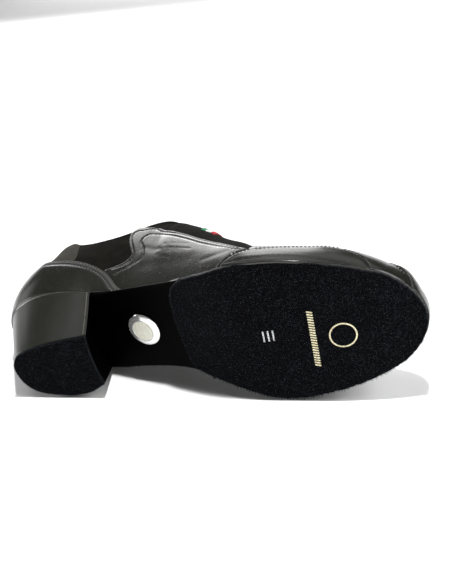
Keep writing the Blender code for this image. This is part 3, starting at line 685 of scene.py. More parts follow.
class Finish:
    """Short hand for building a material's nodes."""

    def __init__(self, name, **values):
        self.material = bpy.data.materials.new(name)
        self.material.use_nodes = True
        self.tree = self.material.node_tree
        self.shader = self.tree.nodes["Principled BSDF"]
        self.place = self.add("TexCoord").outputs["Object"]
        self.map = self.add("TexCoord").outputs["UV"]
        self.set(**values)

    def add(self, kind, inputs=None, **settings):
        node = self.tree.nodes.new("ShaderNode" + kind)
        for key, value in settings.items():
            setattr(node, key, value)
        for key, value in (inputs or {}).items():
            self.put(node.inputs[key], value)
        return node

    def put(self, socket, value):
        if isinstance(value, bpy.types.NodeSocket):
            self.tree.links.new(value, socket)
        else:
            socket.default_value = value

    def set(self, **values):
        """Values of the shader's inputs."""
        for socket, value in values.items():
            self.put(self.shader.inputs[socket.replace("_", " ")], value)

    def noise(self, size_mm, detail=3.0, rough=0.55):
        """Clouds of about this size, from 0 to 1."""
        inputs = {"Vector": self.place, "Scale": 1 / (size_mm * MM), "Detail": detail, "Roughness": rough}
        return self.add("TexNoise", inputs).outputs["Fac"]

    def cells(self, size_mm):
        """Cells of about this size, by the distance from their middles."""
        inputs = {"Vector": self.place, "Scale": 1 / (size_mm * MM)}
        return self.add("TexVoronoi", inputs).outputs["Distance"]

    def tone(self, value, *stops, step=False):
        """Base colour from the colours at stops along a value."""
        node = self.add("ValToRGB", {"Fac": value})
        ramp = node.color_ramp
        ramp.interpolation = "CONSTANT" if step else "LINEAR"
        while len(ramp.elements) < len(stops):
            ramp.elements.new(0.5)
        for element, (place, colour) in zip(ramp.elements, stops):
            element.position = place
            element.color = tuple(colour) + (1.0,)
        self.set(Base_Color=node.outputs["Color"])

    def rough(self, value, low, high, start=0.0, end=1.0):
        """Roughness from low to high while a value goes from start to end."""
        inputs = {"Value": value, "From Min": start, "From Max": end, "To Min": low, "To Max": high}
        self.set(Roughness=self.add("MapRange", inputs).outputs["Result"])

    def math(self, operation, a, b=0.0):
        node = self.add("Math", operation=operation)
        self.put(node.inputs[0], a)
        self.put(node.inputs[1], b)
        return node.outputs["Value"]

    def bump(self, height, depth_mm, strength=1.0):
        """Relief of this depth added to the shader's normal."""
        inputs = {"Height": height, "Distance": depth_mm * MM, "Strength": strength}
        node = self.add("Bump", inputs)
        before = self.shader.inputs["Normal"]
        if before.is_linked:
            self.put(node.inputs["Normal"], before.links[0].from_socket)
        self.put(before, node.outputs["Normal"])

    def weave(self, axis, pace, depth_mm):
        """Even ribs along one axis of the piece's own map."""
        parts = self.add("SeparateXYZ", {"Vector": self.map})
        self.bump(self.math("SINE", self.math("MULTIPLY", parts.outputs[axis], pace)), depth_mm, 0.5)


def leather(name, dark, light, rough, grain=0.02):
    """Smooth calf leather with a fine pore grain and faint clouds in tone and gloss."""
    finish = Finish(name, IOR=1.5, Coat_Weight=0.1, Coat_Roughness=0.25)
    finish.tone(finish.noise(14.0, 4.0), (0.3, dark), (0.75, light))
    finish.rough(finish.noise(2.6, 5.0), rough - 0.03, rough + 0.04, 0.3, 0.7)
    finish.bump(finish.cells(0.85), grain, 0.5)
    finish.bump(finish.noise(0.5, 3.0), grain * 0.7, 0.4)
    finish.bump(finish.noise(9.0, 2.0), 0.035, 0.35)
    return finish.material


def suede(name):
    """Blue black split leather with a raised nap and light fibre ends."""
    finish = Finish(name, IOR=1.4, Sheen_Weight=0.03, Sheen_Roughness=0.5, Specular_IOR_Level=0.06)
    finish.set(Sheen_Tint=(0.55, 0.62, 0.85, 1.0))
    finish.rough(finish.noise(1.2), 0.85, 1.0)
    fine = finish.noise(1.1, 5.0, 0.80)
    broad = finish.math("MULTIPLY", finish.noise(11.0, 3.0), 0.15)
    finish.tone(
        finish.math("ADD", fine, broad),
        (0.50, (0.0001, 0.0002, 0.0004)),
        (0.64, (0.0004, 0.0006, 0.0012)),
        (0.78, (0.024, 0.028, 0.038)),
    )
    finish.bump(fine, 0.55, 0.8)
    finish.bump(finish.noise(3.0, 3.0), 0.25, 0.4)
    return finish.material


def plain_nap(name, dark, light):
    """Matt fibres with a little change of tone."""
    finish = Finish(name, Roughness=0.95, Sheen_Weight=0.2, Specular_IOR_Level=0.15)
    finish.tone(finish.noise(1.5), (0.35, dark), (0.7, light))
    return finish.material


def elastic(name):
    """Covered elastic: fine upright ribs crossed by the knit."""
    finish = Finish(name, Roughness=0.9, Specular_IOR_Level=0.06)
    finish.tone(finish.noise(9.0, 6.0), (0.3, (0.0010, 0.0009, 0.0006)), (0.75, (0.0080, 0.0073, 0.0050)))
    finish.weave("X", 2 * math.pi / 0.9, 0.12)
    finish.weave("Y", 2 * math.pi / 0.6, 0.06)
    finish.bump(finish.noise(0.4), 0.08, 0.4)
    return finish.material


def lining(name, dark, light):
    """Plain textile lining with a close weave."""
    finish = Finish(name, Roughness=0.9, Specular_IOR_Level=0.25)
    finish.tone(finish.noise(4.0, 5.0), (0.3, dark), (0.75, light))
    finish.bump(finish.cells(0.7), 0.12, 0.6)
    finish.bump(finish.noise(6.0), 0.2, 0.4)
    return finish.material


def black_cover(name):
    """Dull black cover leather of the arch and the heel breast."""
    finish = Finish(name, IOR=1.4, Specular_IOR_Level=0.02)
    finish.tone(finish.noise(8.0), (0.3, (0.0003, 0.0003, 0.0003)), (0.8, (0.0006, 0.0006, 0.0006)))
    finish.rough(finish.noise(3.0), 0.35, 0.5)
    finish.bump(finish.noise(0.8, 4.0), 0.05, 0.4)
    return finish.material


def metal(name):
    """Bright nickel with faint smears in its gloss and a fine grain."""
    finish = Finish(name, Metallic=0.75, Base_Color=(0.93, 0.93, 0.92, 1.0))
    finish.rough(finish.noise(2.0, 5.0), 0.12, 0.22)
    finish.bump(finish.noise(0.3, 2.0), 0.004, 0.4)
    return finish.material


def inlay(name):
    """Cream matt inlay with a faint mottle."""
    finish = Finish(name, Roughness=0.55)
    finish.tone(finish.noise(1.6, 5.0), (0.3, (0.66, 0.65, 0.54)), (0.7, (0.80, 0.79, 0.69)))
    finish.bump(finish.noise(0.8), 0.03, 0.4)
    return finish.material


def thread(name, colour, gloss=0.1):
    """Twisted sewing thread."""
    finish = Finish(name, Roughness=0.6, Specular_IOR_Level=gloss)
    finish.tone(finish.noise(0.5), (0.3, [c * 0.5 for c in colour]), (0.7, colour))
    finish.bump(finish.noise(0.25), 0.05, 0.7)
    return finish.material


def ribbon(name):
    """Woven ribbon in three stripes."""
    finish = Finish(name, Roughness=0.7, Specular_IOR_Level=0.15)
    across = finish.add("SeparateXYZ", {"Vector": finish.map}).outputs["X"]
    finish.tone(
        finish.math("DIVIDE", across, 3.0),
        (0.0, (0.42, 0.012, 0.022)),
        (0.27, (0.72, 0.73, 0.72)),
        (0.66, (0.012, 0.20, 0.085)),
        step=True,
    )
    finish.weave("X", 60.0, 0.08)
    finish.weave("Y", 60.0, 0.08)
    return finish.material


def foil(name, dark, light):
    """Hot stamped foil, a little broken by the nap under it."""
    finish = Finish(name, Metallic=0.2)
    finish.tone(finish.noise(0.5, 4.0), (0.40, dark), (0.56, light))
    finish.rough(finish.noise(0.6), 0.35, 0.6)
    finish.bump(finish.noise(0.4), 0.1, 0.5)
    return finish.material


PANEL_FINISH = leather("panel leather", (0.0072, 0.0073, 0.0054), (0.0110, 0.0111, 0.0084), 0.24, 0.010)
# Darker, duller copy of the panel leather: painted shade in pressed bands, seam grooves and on rolled edges,
# which also takes their highlights off.
PAINTED_SHADE_BAND_FINISH = leather("band leather, painted shade", (0.0026, 0.0026, 0.0020), (0.0045, 0.0045, 0.0034), 0.50)
HEEL_FINISH = leather("heel cover leather", (0.0072, 0.0072, 0.0052), (0.0110, 0.0109, 0.0080), 0.32, 0.03)
# Much lighter copy of the heel leather for the heel's top lip: a painted highlight along the lip.
PAINTED_HIGHLIGHT_LIP_FINISH = leather("heel lip, painted highlight", (0.035, 0.034, 0.029), (0.085, 0.083, 0.074), 0.30)
SUEDE_FINISH = suede("sole suede")
ELASTIC_FINISH = elastic("collar elastic")
# Heel collar in a lighter brown than the elastic: partly its own tone, partly painted light on the heel back,
# which faces up.
COLLAR_PAINTED_LIGHT_FINISH = lining("heel collar with painted light", (0.013, 0.012, 0.008), (0.030, 0.028, 0.020))
LINING_FINISH = lining("textile lining", (0.008, 0.008, 0.008), (0.02, 0.019, 0.018))
SOCK_FINISH = lining("insole sock", (0.02, 0.017, 0.014), (0.05, 0.043, 0.036))
COVER_FINISH = black_cover("black cover")
METAL_FINISH = metal("nickel")
INLAY_FINISH = inlay("cream inlay")
THREAD_FINISH = thread("black thread", (0.004, 0.004, 0.004))
# Light grey thread for the heel's edge stitches: painted highlight on them.
EDGE_THREAD_HIGHLIGHT_FINISH = thread("heel edge thread, painted highlight", (0.20, 0.19, 0.16))
# Light grey thread for the counter's stitches: painted highlight on black thread.
SEAM_THREAD_HIGHLIGHT_FINISH = thread("seam thread, painted highlight", (0.14, 0.14, 0.12), 0.5)
QUARTER_THREAD_FINISH = thread("quarter thread", (0.030, 0.030, 0.025), 0.5)
BEAD_FINISH = thread("light thread", (0.20, 0.20, 0.18), 0.5)
RIBBON_FINISH = ribbon("three stripe ribbon")
GOLD_FINISH = foil("gold foil", (0.42, 0.34, 0.16), (0.95, 0.90, 0.64))
SILVER_FINISH = foil("silver foil", (0.20, 0.20, 0.21), (0.85, 0.86, 0.88))
FIBRE_FINISH = plain_nap("suede fibres", (0.0002, 0.0003, 0.0006), (0.0035, 0.0044, 0.0068))
EDGE_NAP_FINISH = plain_nap("cut sole edge", (0.0015, 0.0016, 0.0018), (0.0060, 0.0060, 0.0058))
LINT_FINISH = plain_nap("lint", (0.03, 0.036, 0.050), (0.15, 0.17, 0.22))


# Upper

def collar_lean(side, share):
    """How far forward of its place at the rim the heel collar's front edge lies, in sections."""
    lean = COLLAR_LEAN * (np.maximum(share, LEAN_FOOT) - LEAN_TOP)
    return lean * np.exp(-((side - HEEL_COLLAR) / LEAN_REACH) ** 2)


def make_shell():
    """Elastic, heel collar and lining as one hollow wall, open at the collar and underneath."""
    step = 0.1
    sections = np.arange(0, RING, step)[:, None]
    nearest = np.minimum(sections, RING - sections)
    shares = level_curve(COLLAR_EDGE)(nearest.ravel()) * eased(56, 0.5)[None, :]
    side = nearest
    for _ in range(6):
        side = nearest + collar_lean(side, shares)
    grid = np.dstack([np.where(sections <= HEEL_BACK, side, RING - side), shares])
    number = np.arange(grid[..., 0].size).reshape(grid.shape[:2])
    for i in range(round(THROAT / step) + 1):
        twin = -i % len(sections)
        number[twin, -1] = number[i, -1]
    sheet = sheet_on_last(grid, np.vstack([number, number[:1]]))
    side = np.minimum(sheet.places[:, 0], RING - sheet.places[:, 0])
    side = side - collar_lean(side, sheet.places[:, 1])
    pad = level_curve(COLLAR_PAD)(side)
    raised = np.clip((sheet.places[:, 1:] - PAD_FOOT) / PAD_RISE, 0, 1)
    sheet = sheet._replace(points=sheet.points + sheet.normals * pad * raised**2 * (3 - 2 * raised))
    edges = border_edges(sheet.faces)
    collar = edges[sheet.places[edges[:, 0], 1] > 0.5]
    away = distance_to(sheet.points, sheet.points[collar[:, 0]], sheet.points[collar[:, 1]])
    half = WALL_THICK / 2 - 0.05
    roll = half * (1 - rounded(away, half))
    hem = 0.16 * np.exp(-((away - 3.4) / 0.5) ** 2)
    points, faces = closed_skin(sheet, -roll - hem, roll - WALL_THICK)
    # Faces behind the collar's front edge take the lighter collar finish, partly painted light.
    kinds = np.where(np.tile(side, 2)[faces].min(axis=1) > HEEL_COLLAR - step / 2, 2, 0)
    kinds[len(sheet.faces):2 * len(sheet.faces)] = 1
    uv = np.column_stack([sheet.places[:, 0] * 12.0, sheet.points[:, 2]])
    finishes = [ELASTIC_FINISH, LINING_FINISH, COLLAR_PAINTED_LIGHT_FINISH]
    add_piece("upper_shell", points, faces, finishes, "upper", kinds, np.tile(uv, (2, 1)))


def turned_in(foot):
    """Rows of places that carry a panel's foot round the feather edge."""
    rows = np.repeat(foot[None], TURN_IN_ROWS, axis=0)
    rows[..., 1] = -np.linspace(1, 0, TURN_IN_ROWS + 1)[:-1, None]
    return rows


def make_panel(name, node, grid, dents=(), thick=PANEL_THICK, lift=PANEL_GAP, folded=False,
               finish=PANEL_FINISH, mapped=None, edge=EDGE_ROUND, shade_bands=()):
    """Leather piece on the upper with rolled edges, its stitch channels and creases pressed in. Bands
    along lines get darker, duller leather: painted shade on seams, grooves and rolled edges."""
    sheet = patch(grid, folded)
    edges = border_edges(sheet.faces)
    inside = distance_to(sheet.points, sheet.points[edges[:, 0]], sheet.points[edges[:, 1]])
    top = lift + SKIN_LEFT + (thick - SKIN_LEFT) * rounded(inside, edge)
    if sheet.places[:, 1].min() < 0:
        top = top * (1 - 0.5 * np.clip(1 - sheet.places[:, 1] / SKIVED, 0, 1) ** 1.5)
    for line, width, depth in dents:
        top = top - depth * np.exp(-((distance_to_line(sheet.points, line) / width) ** 2))
    points, faces = closed_skin(sheet, top, 0.05)
    uv = None if mapped is None else np.tile(mapped(sheet.places), (2, 1))
    kinds = np.zeros(len(faces), int)
    # Faces near these lines take the darker band leather: painted shade.
    for line, width in shade_bands:
        near = distance_to_line(sheet.points, line) < width
        kinds[:len(sheet.faces)] |= near[sheet.faces].all(axis=1)
    add_piece(name, points, faces, [finish, PAINTED_SHADE_BAND_FINISH], node, kinds, uv)


def dent(path, distance, side, width=CHANNEL_WIDTH, depth=CHANNEL_DEPTH):
    """Dent that runs inside an edge: its line, half width and depth."""
    return last_surface(*inset(path, distance, side).T), width, depth


def rising_grid(sections, shares, count):
    """Grid of places from the foot up to a line of sections and shares."""
    return np.dstack([np.repeat(sections[:, None], count, axis=1), shares[:, None] * eased(count)[None, :]])


PANEL_TOP = PANEL_GAP + PANEL_THICK - CHANNEL_DEPTH + 0.04


def make_counter():
    front = COUNTER_TOP[0].section
    sections = front + (RING - 2 * front) * eased(170)
    shares = level_curve(COUNTER_TOP)(np.minimum(sections, RING - sections))[:, 0]
    path = np.column_stack([sections, shares])
    band = dent(path, COUNTER_BAND[0], 1, *COUNTER_BAND[1:])
    dents = [dent(path, row, 1) for row in COUNTER_ROWS] + [band]
    # Painted shade along the pressed band and along the counter's rolled top edge.
    shade_bands = [(band[0], 1.3), (last_surface(*path.T), 1.0)]
    grid = rising_grid(sections, shares, 34)
    make_panel("counter_leather", "heel_counter", grid, dents, lift=COUNTER_LIFT, shade_bands=shade_bands)
    height = PANEL_TOP + COUNTER_LIFT - PANEL_GAP - BAND_SINK * COUNTER_BAND[2]
    lines = row_lines(path, COUNTER_ROWS, 1, height)
    # Counter stitches in the lighter thread: painted highlight.
    add_stitches("counter_stitches", lines, SEAM_THREAD_HIGHLIGHT_FINISH, pitch=2.4, length=1.6, radius=0.34)


def make_quarter(side, inner):
    u, v = eased(150), eased(124)
    near = resample([QUARTER_REAR[0], QUARTER_FRONT[0]], u)
    rear = resample(QUARTER_REAR, v, (QUARTER_TIP,))
    grid = coons(near, resample(QUARTER_TOP, u), rear, resample(QUARTER_FRONT, v), u, v)
    grid = np.concatenate([turned_in(grid[0]), grid])
    dents, lines = [], []
    for crease in QUARTER_CREASES:
        places = mirrored(resample(crease.places, np.linspace(0, 1, 25)), inner)
        dents.append((last_surface(*places.T), crease.width, crease.depth))
    for row in (QUARTER_OUTER_ROW, QUARTER_INNER_ROW):
        points, _, _, normals = surface_frame(mirrored(resample(row, np.linspace(0, 1, 220)), inner))
        dents.append((points, CHANNEL_WIDTH, CHANNEL_DEPTH))
        lines.append((points + normals * PANEL_TOP, normals))
    make_panel("quarter_leather_" + side, "quarter_" + side, mirrored(grid, inner), dents)
    add_stitches("quarter_stitches_" + side, lines, QUARTER_THREAD_FINISH)


def make_side_vamp(side, inner):
    back, front = SIDE_VAMP_TOP[0].section, SIDE_VAMP_TOP[-1].section
    sections = back + (front - back) * eased(120)
    shares = level_curve([(-edge.section, edge.share) for edge in SIDE_VAMP_TOP])(-sections)[:, 0]
    grid = rising_grid(sections, shares, 36)
    grid = np.concatenate([turned_in(grid[:, 0]).swapaxes(0, 1), grid], axis=1)
    path = np.column_stack([sections, shares])
    rim = last_surface(*mirrored(path, inner).T)
    # Painted shade along the rear and front seams of the half moon.
    shade_bands = [(rim[sections > BEADS_BACK], 0.9), (rim[sections <= BEADS_FRONT], 0.9)]
    make_panel("side_vamp_leather_" + side, "side_vamp_" + side, mirrored(grid, inner), edge=2.4, shade_bands=shade_bands)
    parts = (
        ("rear", path[sections > BEADS_BACK], THREAD_FINISH, 0.9, 0.30),
        ("top", path[(sections <= BEADS_BACK) & (sections > BEADS_FRONT)], BEAD_FINISH, 1.1, 0.42),
        ("front", path[sections <= BEADS_FRONT], THREAD_FINISH, 0.9, 0.30),
    )
    for part, places, finish, height, radius in parts:
        lines = row_lines(mirrored(places, inner), (0.15,), 1 if inner else -1, PANEL_GAP + height)
        name = "side_vamp_" + part + "_stitches_" + side
        add_stitches(name, lines, finish, pitch=2.1, length=1.5, radius=radius)


def ridge_grid(edge_places, low, high, columns):
    """Grid over the ridge out to an edge on both sides, its lowest rows closer together."""
    shares = np.concatenate([np.linspace(0, CLOSE_ROWS, low), np.linspace(CLOSE_ROWS, 1, high)[1:]])
    edge = level_curve([place[::-1] for place in edge_places])
    spread = 2 * eased(columns) - 1
    return np.dstack([edge(shares) * spread, np.repeat(shares[:, None], columns, axis=1)])


def make_vamp():
    dents, shade_bands = [], []
    for edge, seam in ((SIDE_VAMP_TOP, SIDE_SEAM), (TOE_CAP_EDGE, TOE_SEAM)):
        places = resample(edge, np.linspace(0, 1, 140))
        for inner in (False, True):
            line = last_surface(*mirrored(places, inner).T)
            dents.append((line,) + seam)
            # Painted shade in the groove beside the toe cap's edge.
            if seam is TOE_SEAM:
                shade_bands.append((line, 1.6))
    make_panel("vamp_leather", None, ridge_grid(VAMP_EDGE, 50, 42, 241), dents, VAMP_THICK, 0.1, True,
               edge=4.0, shade_bands=shade_bands)


def make_toe_cap():
    lift = 1.3 * PANEL_GAP
    height = PANEL_TOP + lift - PANEL_GAP - BAND_SINK * TOE_BAND[2]
    edge = resample(TOE_CAP_EDGE, np.linspace(0.04, 0.97, 120))
    dents, lines, shade_bands = [], [], []
    for path, turn in ((edge, 1), (mirrored(edge, True), -1)):
        band = dent(path, TOE_BAND[0], turn, *TOE_BAND[1:])
        dents += [dent(path, row, turn) for row in TOE_ROWS] + [band]
        # Painted shade along the toe cap's pressed band and its rolled edge.
        shade_bands += [(band[0], 1.3), (last_surface(*path.T), 1.1)]
        lines += row_lines(path, TOE_ROWS, turn, height)
    grid = ridge_grid(TOE_CAP_EDGE, 46, 36, 121)
    make_panel("toe_cap_leather", "toe_cap", grid, dents, lift=lift, folded=True, shade_bands=shade_bands)
    add_stitches("toe_cap_stitches", lines, THREAD_FINISH, pitch=2.4, length=1.7)


def make_tab():
    first, last = TAB_SECTIONS
    sections = np.linspace(first, last, 40)[:, None]
    grid = np.dstack(np.broadcast_arrays(sections, np.linspace(*TAB_SHARES, 16)[None, :]))

    def stripes(places):
        return np.column_stack([3 * (places[:, 0] - first) / (last - first), places[:, 1] * 40])

    make_panel("tab_ribbon", "instep_tab", grid, thick=TAB_THICK, lift=0.1, finish=RIBBON_FINISH,
               mapped=stripes, edge=0.4)


# Sole, arch and heel

def at_height(flat, lift):
    """Flat grid laid along the upper's underside, lift above it."""
    return np.dstack([flat, bottom(flat[..., 0]) + lift])


def rungs(sections, outer_outset, inner_outset, count):
    """Rows straight across the foot, from the outer to the inner feather line, both moved out."""
    outer = feather_line(sections, outer_outset)[:, None]
    inner = feather_line(RING - sections, inner_outset)[:, None]
    return outer + (inner - outer) * np.linspace(0, 1, count)[None, :, None]


def sole_flat(outset, wear):
    """Outline and rows of the forefoot sole, its rim moved out and worn uneven."""
    count = 49
    half = np.concatenate([0.9 * np.linspace(0, 1, 30) ** 2, np.linspace(1.0, 10, 91)])
    flat = rungs(half, RIM_CURVE(half) + outset, SOLE_OVERHANG + outset, count)
    back = resample(SOLE_BACK, np.linspace(0, 1, count))
    back[:, 0] -= outset
    back[0], back[-1] = flat[-1, 0], flat[-1, -1]
    tail = [flat[-1] + (back - flat[-1]) * share for share in np.linspace(0, 1, 9)[1:]]
    flat = np.concatenate([flat, tail])
    for side in (0, -1):
        flat[1:, side] += unit(flat[1:, side] - BALL_MIDDLE) * wear[:len(flat) - 1, side][:, None]
    return flat


Nap = namedtuple("Nap", "count rim_count scatter squash droop length width lean")


def make_sole():
    """Suede forefoot sole with a soft worn rim, and its nap."""
    wear = RANDOM.normal(0, 0.14, (200, 2))
    rim = ((-0.35, 0.0), (0.0, 0.35), (0.0, SOLE_THICK - 0.9), (-0.12, SOLE_THICK - 0.45),
           (-0.45, SOLE_THICK - 0.12), (-0.95, SOLE_THICK))
    levels = [at_height(sole_flat(outset, wear), -JOINT - drop) for outset, drop in rim]
    points, faces, turns = block(levels, 0)
    walls = np.flatnonzero(turns >= 0)
    cut = walls[:CUT_BANDS * len(walls) // (len(levels) - 1)]
    kinds = np.isin(np.arange(len(faces)), cut).astype(int)
    finishes = [SUEDE_FINISH, EDGE_NAP_FINISH]
    add_piece("sole_suede", points, faces, finishes, "forefoot_sole", kinds)

    edge = levels[-3]
    border = np.concatenate([edge[1:, 0], edge[-1, 1:-1], edge[1:, -1]])
    nap = Nap(24000, 9000, 0.35, 1.0, -0.7, 0.75, 0.055, 0.55)
    add_nap("sole_nap", levels[-1], border, np.append(BALL_MIDDLE, 6.0), nap)


def add_nap(name, face, border, middle, nap):
    """Fibres over a face that looks down and round its border, some of them light lint."""
    a, b, c = face[:-1, :-1], face[1:, :-1], face[:-1, 1:]
    area = np.linalg.norm(np.cross(b - a, c - a), axis=2).ravel()
    picks = RANDOM.choice(area.size, nap.count, p=area / area.sum())
    u, v = RANDOM.random((2, nap.count, 1))
    a, b, c = (corner.reshape(-1, 3)[picks] for corner in (a, b, c))
    normals = unit(np.cross(b - a, c - a))
    normals *= np.where(normals[:, 2:] > 0, -1, 1)
    picks = RANDOM.integers(0, len(border), nap.rim_count)
    rim_roots = border[picks] + RANDOM.normal(0, nap.scatter, (len(picks), 3)) * (1, 1, nap.squash)
    rim_normals = unit((border[picks] - middle) * (1, 1, 0)) + (0, 0, nap.droop)
    roots = np.concatenate([a + u * (b - a) + v * (c - a), rim_roots])
    normals = np.concatenate([normals, rim_normals])
    points, faces = spikes(roots, normals, nap.length, nap.width, nap.lean)
    kinds = np.repeat((RANDOM.random(len(roots)) < LINT_SHARE).astype(int), 4)
    add_piece(name, points, faces, [FIBRE_FINISH, LINT_FINISH], kinds=kinds)


def make_arch():
    across = np.linspace(-1, 1, 41)
    u = np.linspace(0, 1, 60)
    outer = np.linspace(HEEL_FRONT - 0.02, 10.3, 60)
    levels = []
    for outset, drop in ((-0.3, 0.0), (0.0, 0.3), (0.0, ARCH_THICK - 0.6), (-0.5, ARCH_THICK)):
        near, far = feather_line(outer, outset), feather_line(RING - outer, outset)
        breast = near[0] + (far[0] - near[0]) * ((across + 1) / 2)[:, None]
        breast[:, 0] = breast[:, 0] - BREAST_HOLLOW_TOP * (1 - across**2) + JOINT
        front = resample(ARCH_FRONT, np.linspace(0, 1, 41))
        near[-1], far[-1] = front[0], front[-1]
        near[0], far[0] = breast[0], breast[-1]
        flat = coons(near, far, breast, front, u, (across + 1) / 2)
        levels.append(at_height(flat, -JOINT - drop))
    points, faces, _ = block_plain(levels)
    add_piece("arch_leather", points, faces, [COVER_FINISH], "arch_cover")


def block_plain(levels):
    """A block none of whose rows comes to a point."""
    padded = [np.concatenate([level[:1, :1].repeat(level.shape[1], axis=1), level]) for level in levels]
    return block(padded, 0)


def make_insole():
    half = np.linspace(0, HEEL_BACK, 121)
    levels = []
    for outset, lift in ((0.0, 0.1), (0.0, INSOLE_THICK - 0.7), (-0.7, INSOLE_THICK)):
        flat = rungs(half, outset - INSOLE_INSET, outset - INSOLE_INSET, 15)
        levels.append(at_height(flat, lift))
    points, faces, _ = block(levels[::-1], 0)
    add_piece("insole_sock", points, faces, [SOCK_FINISH], "insole")


def heel_grid(outer, inner, tip, hollow, count):
    """Rows across the heel from its breast to its back."""
    share = np.linspace(0, 1, count)[None, :, None]
    flat = outer[:, None] + (inner - outer)[:, None] * share
    flat[0, :, 0] -= hollow * (1 - np.linspace(-1, 1, count) ** 2)
    back = np.repeat(np.asarray(tip, float)[None, None], count, axis=1)
    return np.concatenate([flat, back])


def heel_outlines(count):
    """Seat and foot of the heel as rows across it."""
    sections = HEEL_FRONT + (HEEL_BACK - HEEL_FRONT) * (1 - (1 - np.linspace(0, 1, 61)[:-1]) ** 1.2)
    tip = feather_line(HEEL_BACK)[0]
    seat = heel_grid(feather_line(sections), feather_line(RING - sections), tip, BREAST_HOLLOW_TOP, count)
    edge = curve_through([f.section for f in HEEL_FOOT], [(f.x, f.y) for f in HEEL_FOOT])
    foot = heel_grid(edge(sections), edge(RING - sections), edge(HEEL_BACK)[0], BREAST_HOLLOW_FOOT, count)
    return seat, foot


def make_heel():
    """Heel covered in leather, turned in at the breast edges, with a black breast."""
    count = 41
    seat, foot = heel_outlines(count)
    seat_z = bottom(seat[..., 0]) - JOINT
    foot_z = TOP_PIECE_THICK + JOINT
    middle = foot.reshape(-1, 2).mean(axis=0)
    levels = []
    for share in eased(60, 0.9):
        flat = seat + (foot - seat) * share
        inward = unit(middle - flat)
        lip = HEEL_LIP * math.exp(-((share - LIP_SHARE) / LIP_SPREAD) ** 2)
        rolled = 0.5 * (1 - rounded(np.array([share, 1 - share]), LIP_SHARE)).sum()
        sides = np.clip(0.5 + 1.2 * inward[..., 1], 0.0, 1.0)
        sides[0] *= np.abs(np.linspace(-1, 1, count)) ** 8
        flat = flat + inward * (rolled - sides * (lip + HEEL_FLARE * (1 - share**2)))[..., None]
        levels.append(np.dstack([flat, seat_z + (foot_z - seat_z) * share]))
    points, faces, turns = block(levels, -1)
    kinds = ((turns >= 0) & (turns < count - 1)).astype(int)
    walls = np.flatnonzero(turns >= 0).reshape(len(levels) - 1, -1)
    # The lip's walls take the lighter leather: a painted highlight along the heel's top edge.
    bead = walls[2:4].ravel()
    kinds[bead[kinds[bead] == 0]] = 2
    finishes = [HEEL_FINISH, COVER_FINISH, PAINTED_HIGHLIGHT_LIP_FINISH]
    add_piece("heel_leather", points, faces, finishes, "heel_block", kinds)

    lines = []
    for inner in (False, True):
        column = -1 if inner else 0
        line = np.array([level[1, column] for level in levels[3:-2]])
        outward = unit((line - np.append(middle, 0.0)) * (1, 1, 0))
        lines.append((line + 0.05 * outward, outward))
    # Heel edge stitches in the lighter thread: painted highlight.
    finish = EDGE_THREAD_HIGHLIGHT_FINISH
    add_stitches("heel_edge_stitches", lines, finish, pitch=1.7, length=1.3, radius=0.22, kept=0.9)


def make_top_piece():
    """Suede top piece of the heel and its nap."""
    _, foot = heel_outlines(25)
    middle = foot.reshape(-1, 2).mean(axis=0)
    levels = []
    thick = TOP_PIECE_THICK
    for inward, z in ((0.35, thick), (0.0, thick - 0.35), (0.0, 0.7), (0.25, 0.25), (0.7, 0.0)):
        flat = foot + unit(middle - foot) * inward
        levels.append(np.dstack([flat, np.full(flat.shape[:2], z)]))
    points, faces, _ = block(levels, -1)
    add_piece("top_piece_suede", points, faces, [SUEDE_FINISH], "heel_top_piece")

    face, edge = levels[-1], levels[-2]
    border = np.concatenate([edge[0], edge[:-1, 0], edge[:-1, -1]])
    nap = Nap(4200, 1800, 0.2, 0.6, -0.8, 0.55, 0.05, 0.5)
    add_nap("top_piece_nap", face[:-1], border, np.append(middle, 1.0), nap)


# Button and marks

def button_axes():
    """Middle of the button's seat on the arch, and its across, along and down directions."""
    run = 0.5
    slope = float(bottom(BUTTON_X + run) - bottom(BUTTON_X - run)) / (2 * run)
    down = unit(np.array([slope, 0.0, -1.0]))
    along = unit(np.array([1.0, 0.0, slope]))
    seat = np.array([BUTTON_X, BUTTON_Y, float(bottom(BUTTON_X)) - JOINT - ARCH_THICK])
    return seat, along, np.cross(down, along), down


def turned(name, profile, finish, node):
    """Round piece turned from a profile of radius and height over the arch."""
    seat, along, across, down = button_axes()
    angles = np.linspace(0, 2 * math.pi, 97)[:-1]
    ring = np.cos(angles)[:, None] * along + np.sin(angles)[:, None] * across
    rings = [seat + radius * ring + (BUTTON_LIFT + height) * down for radius, height in profile]
    points = np.concatenate(rings)
    number = np.arange(len(points)).reshape(len(profile), -1)
    number[0], number[-1] = number[0, 0], number[-1, 0]
    faces = quads(np.column_stack([number, number[:, 0]]))
    add_piece(name, points, faces, [finish], node, sharp=35)


def make_button():
    washer = ((0.0, 0.15), (9.6, 0.15), (9.9, 0.3), (9.9, 0.5), (9.7, 0.75), (9.2, 1.02), (8.0, 1.52),
              (7.0, 1.86), (6.6, 1.92), (6.42, 1.86), (6.36, 1.6), (0.0, 1.6))
    turned("button_disc", washer, METAL_FINISH, "arch_button")
    centre = ((0.0, 1.65), (6.2, 1.65), (6.2, 1.9), (6.05, 2.05), (5.6, 2.11), (0.0, 2.17))
    turned("button_centre", centre, INLAY_FINISH, "arch_button_inlay")


def strip(path, width):
    """Thin foil strip along a path of x and y under the sole."""
    path = np.asarray(path, float)
    heading = unit(np.gradient(path, axis=0))
    across = np.column_stack([-heading[:, 1], heading[:, 0]]) * width / 2
    flat = np.stack([path - across, path + across], axis=1)
    under = -JOINT - SOLE_THICK
    return at_height(flat, under + 0.1), at_height(flat, under - 0.07)


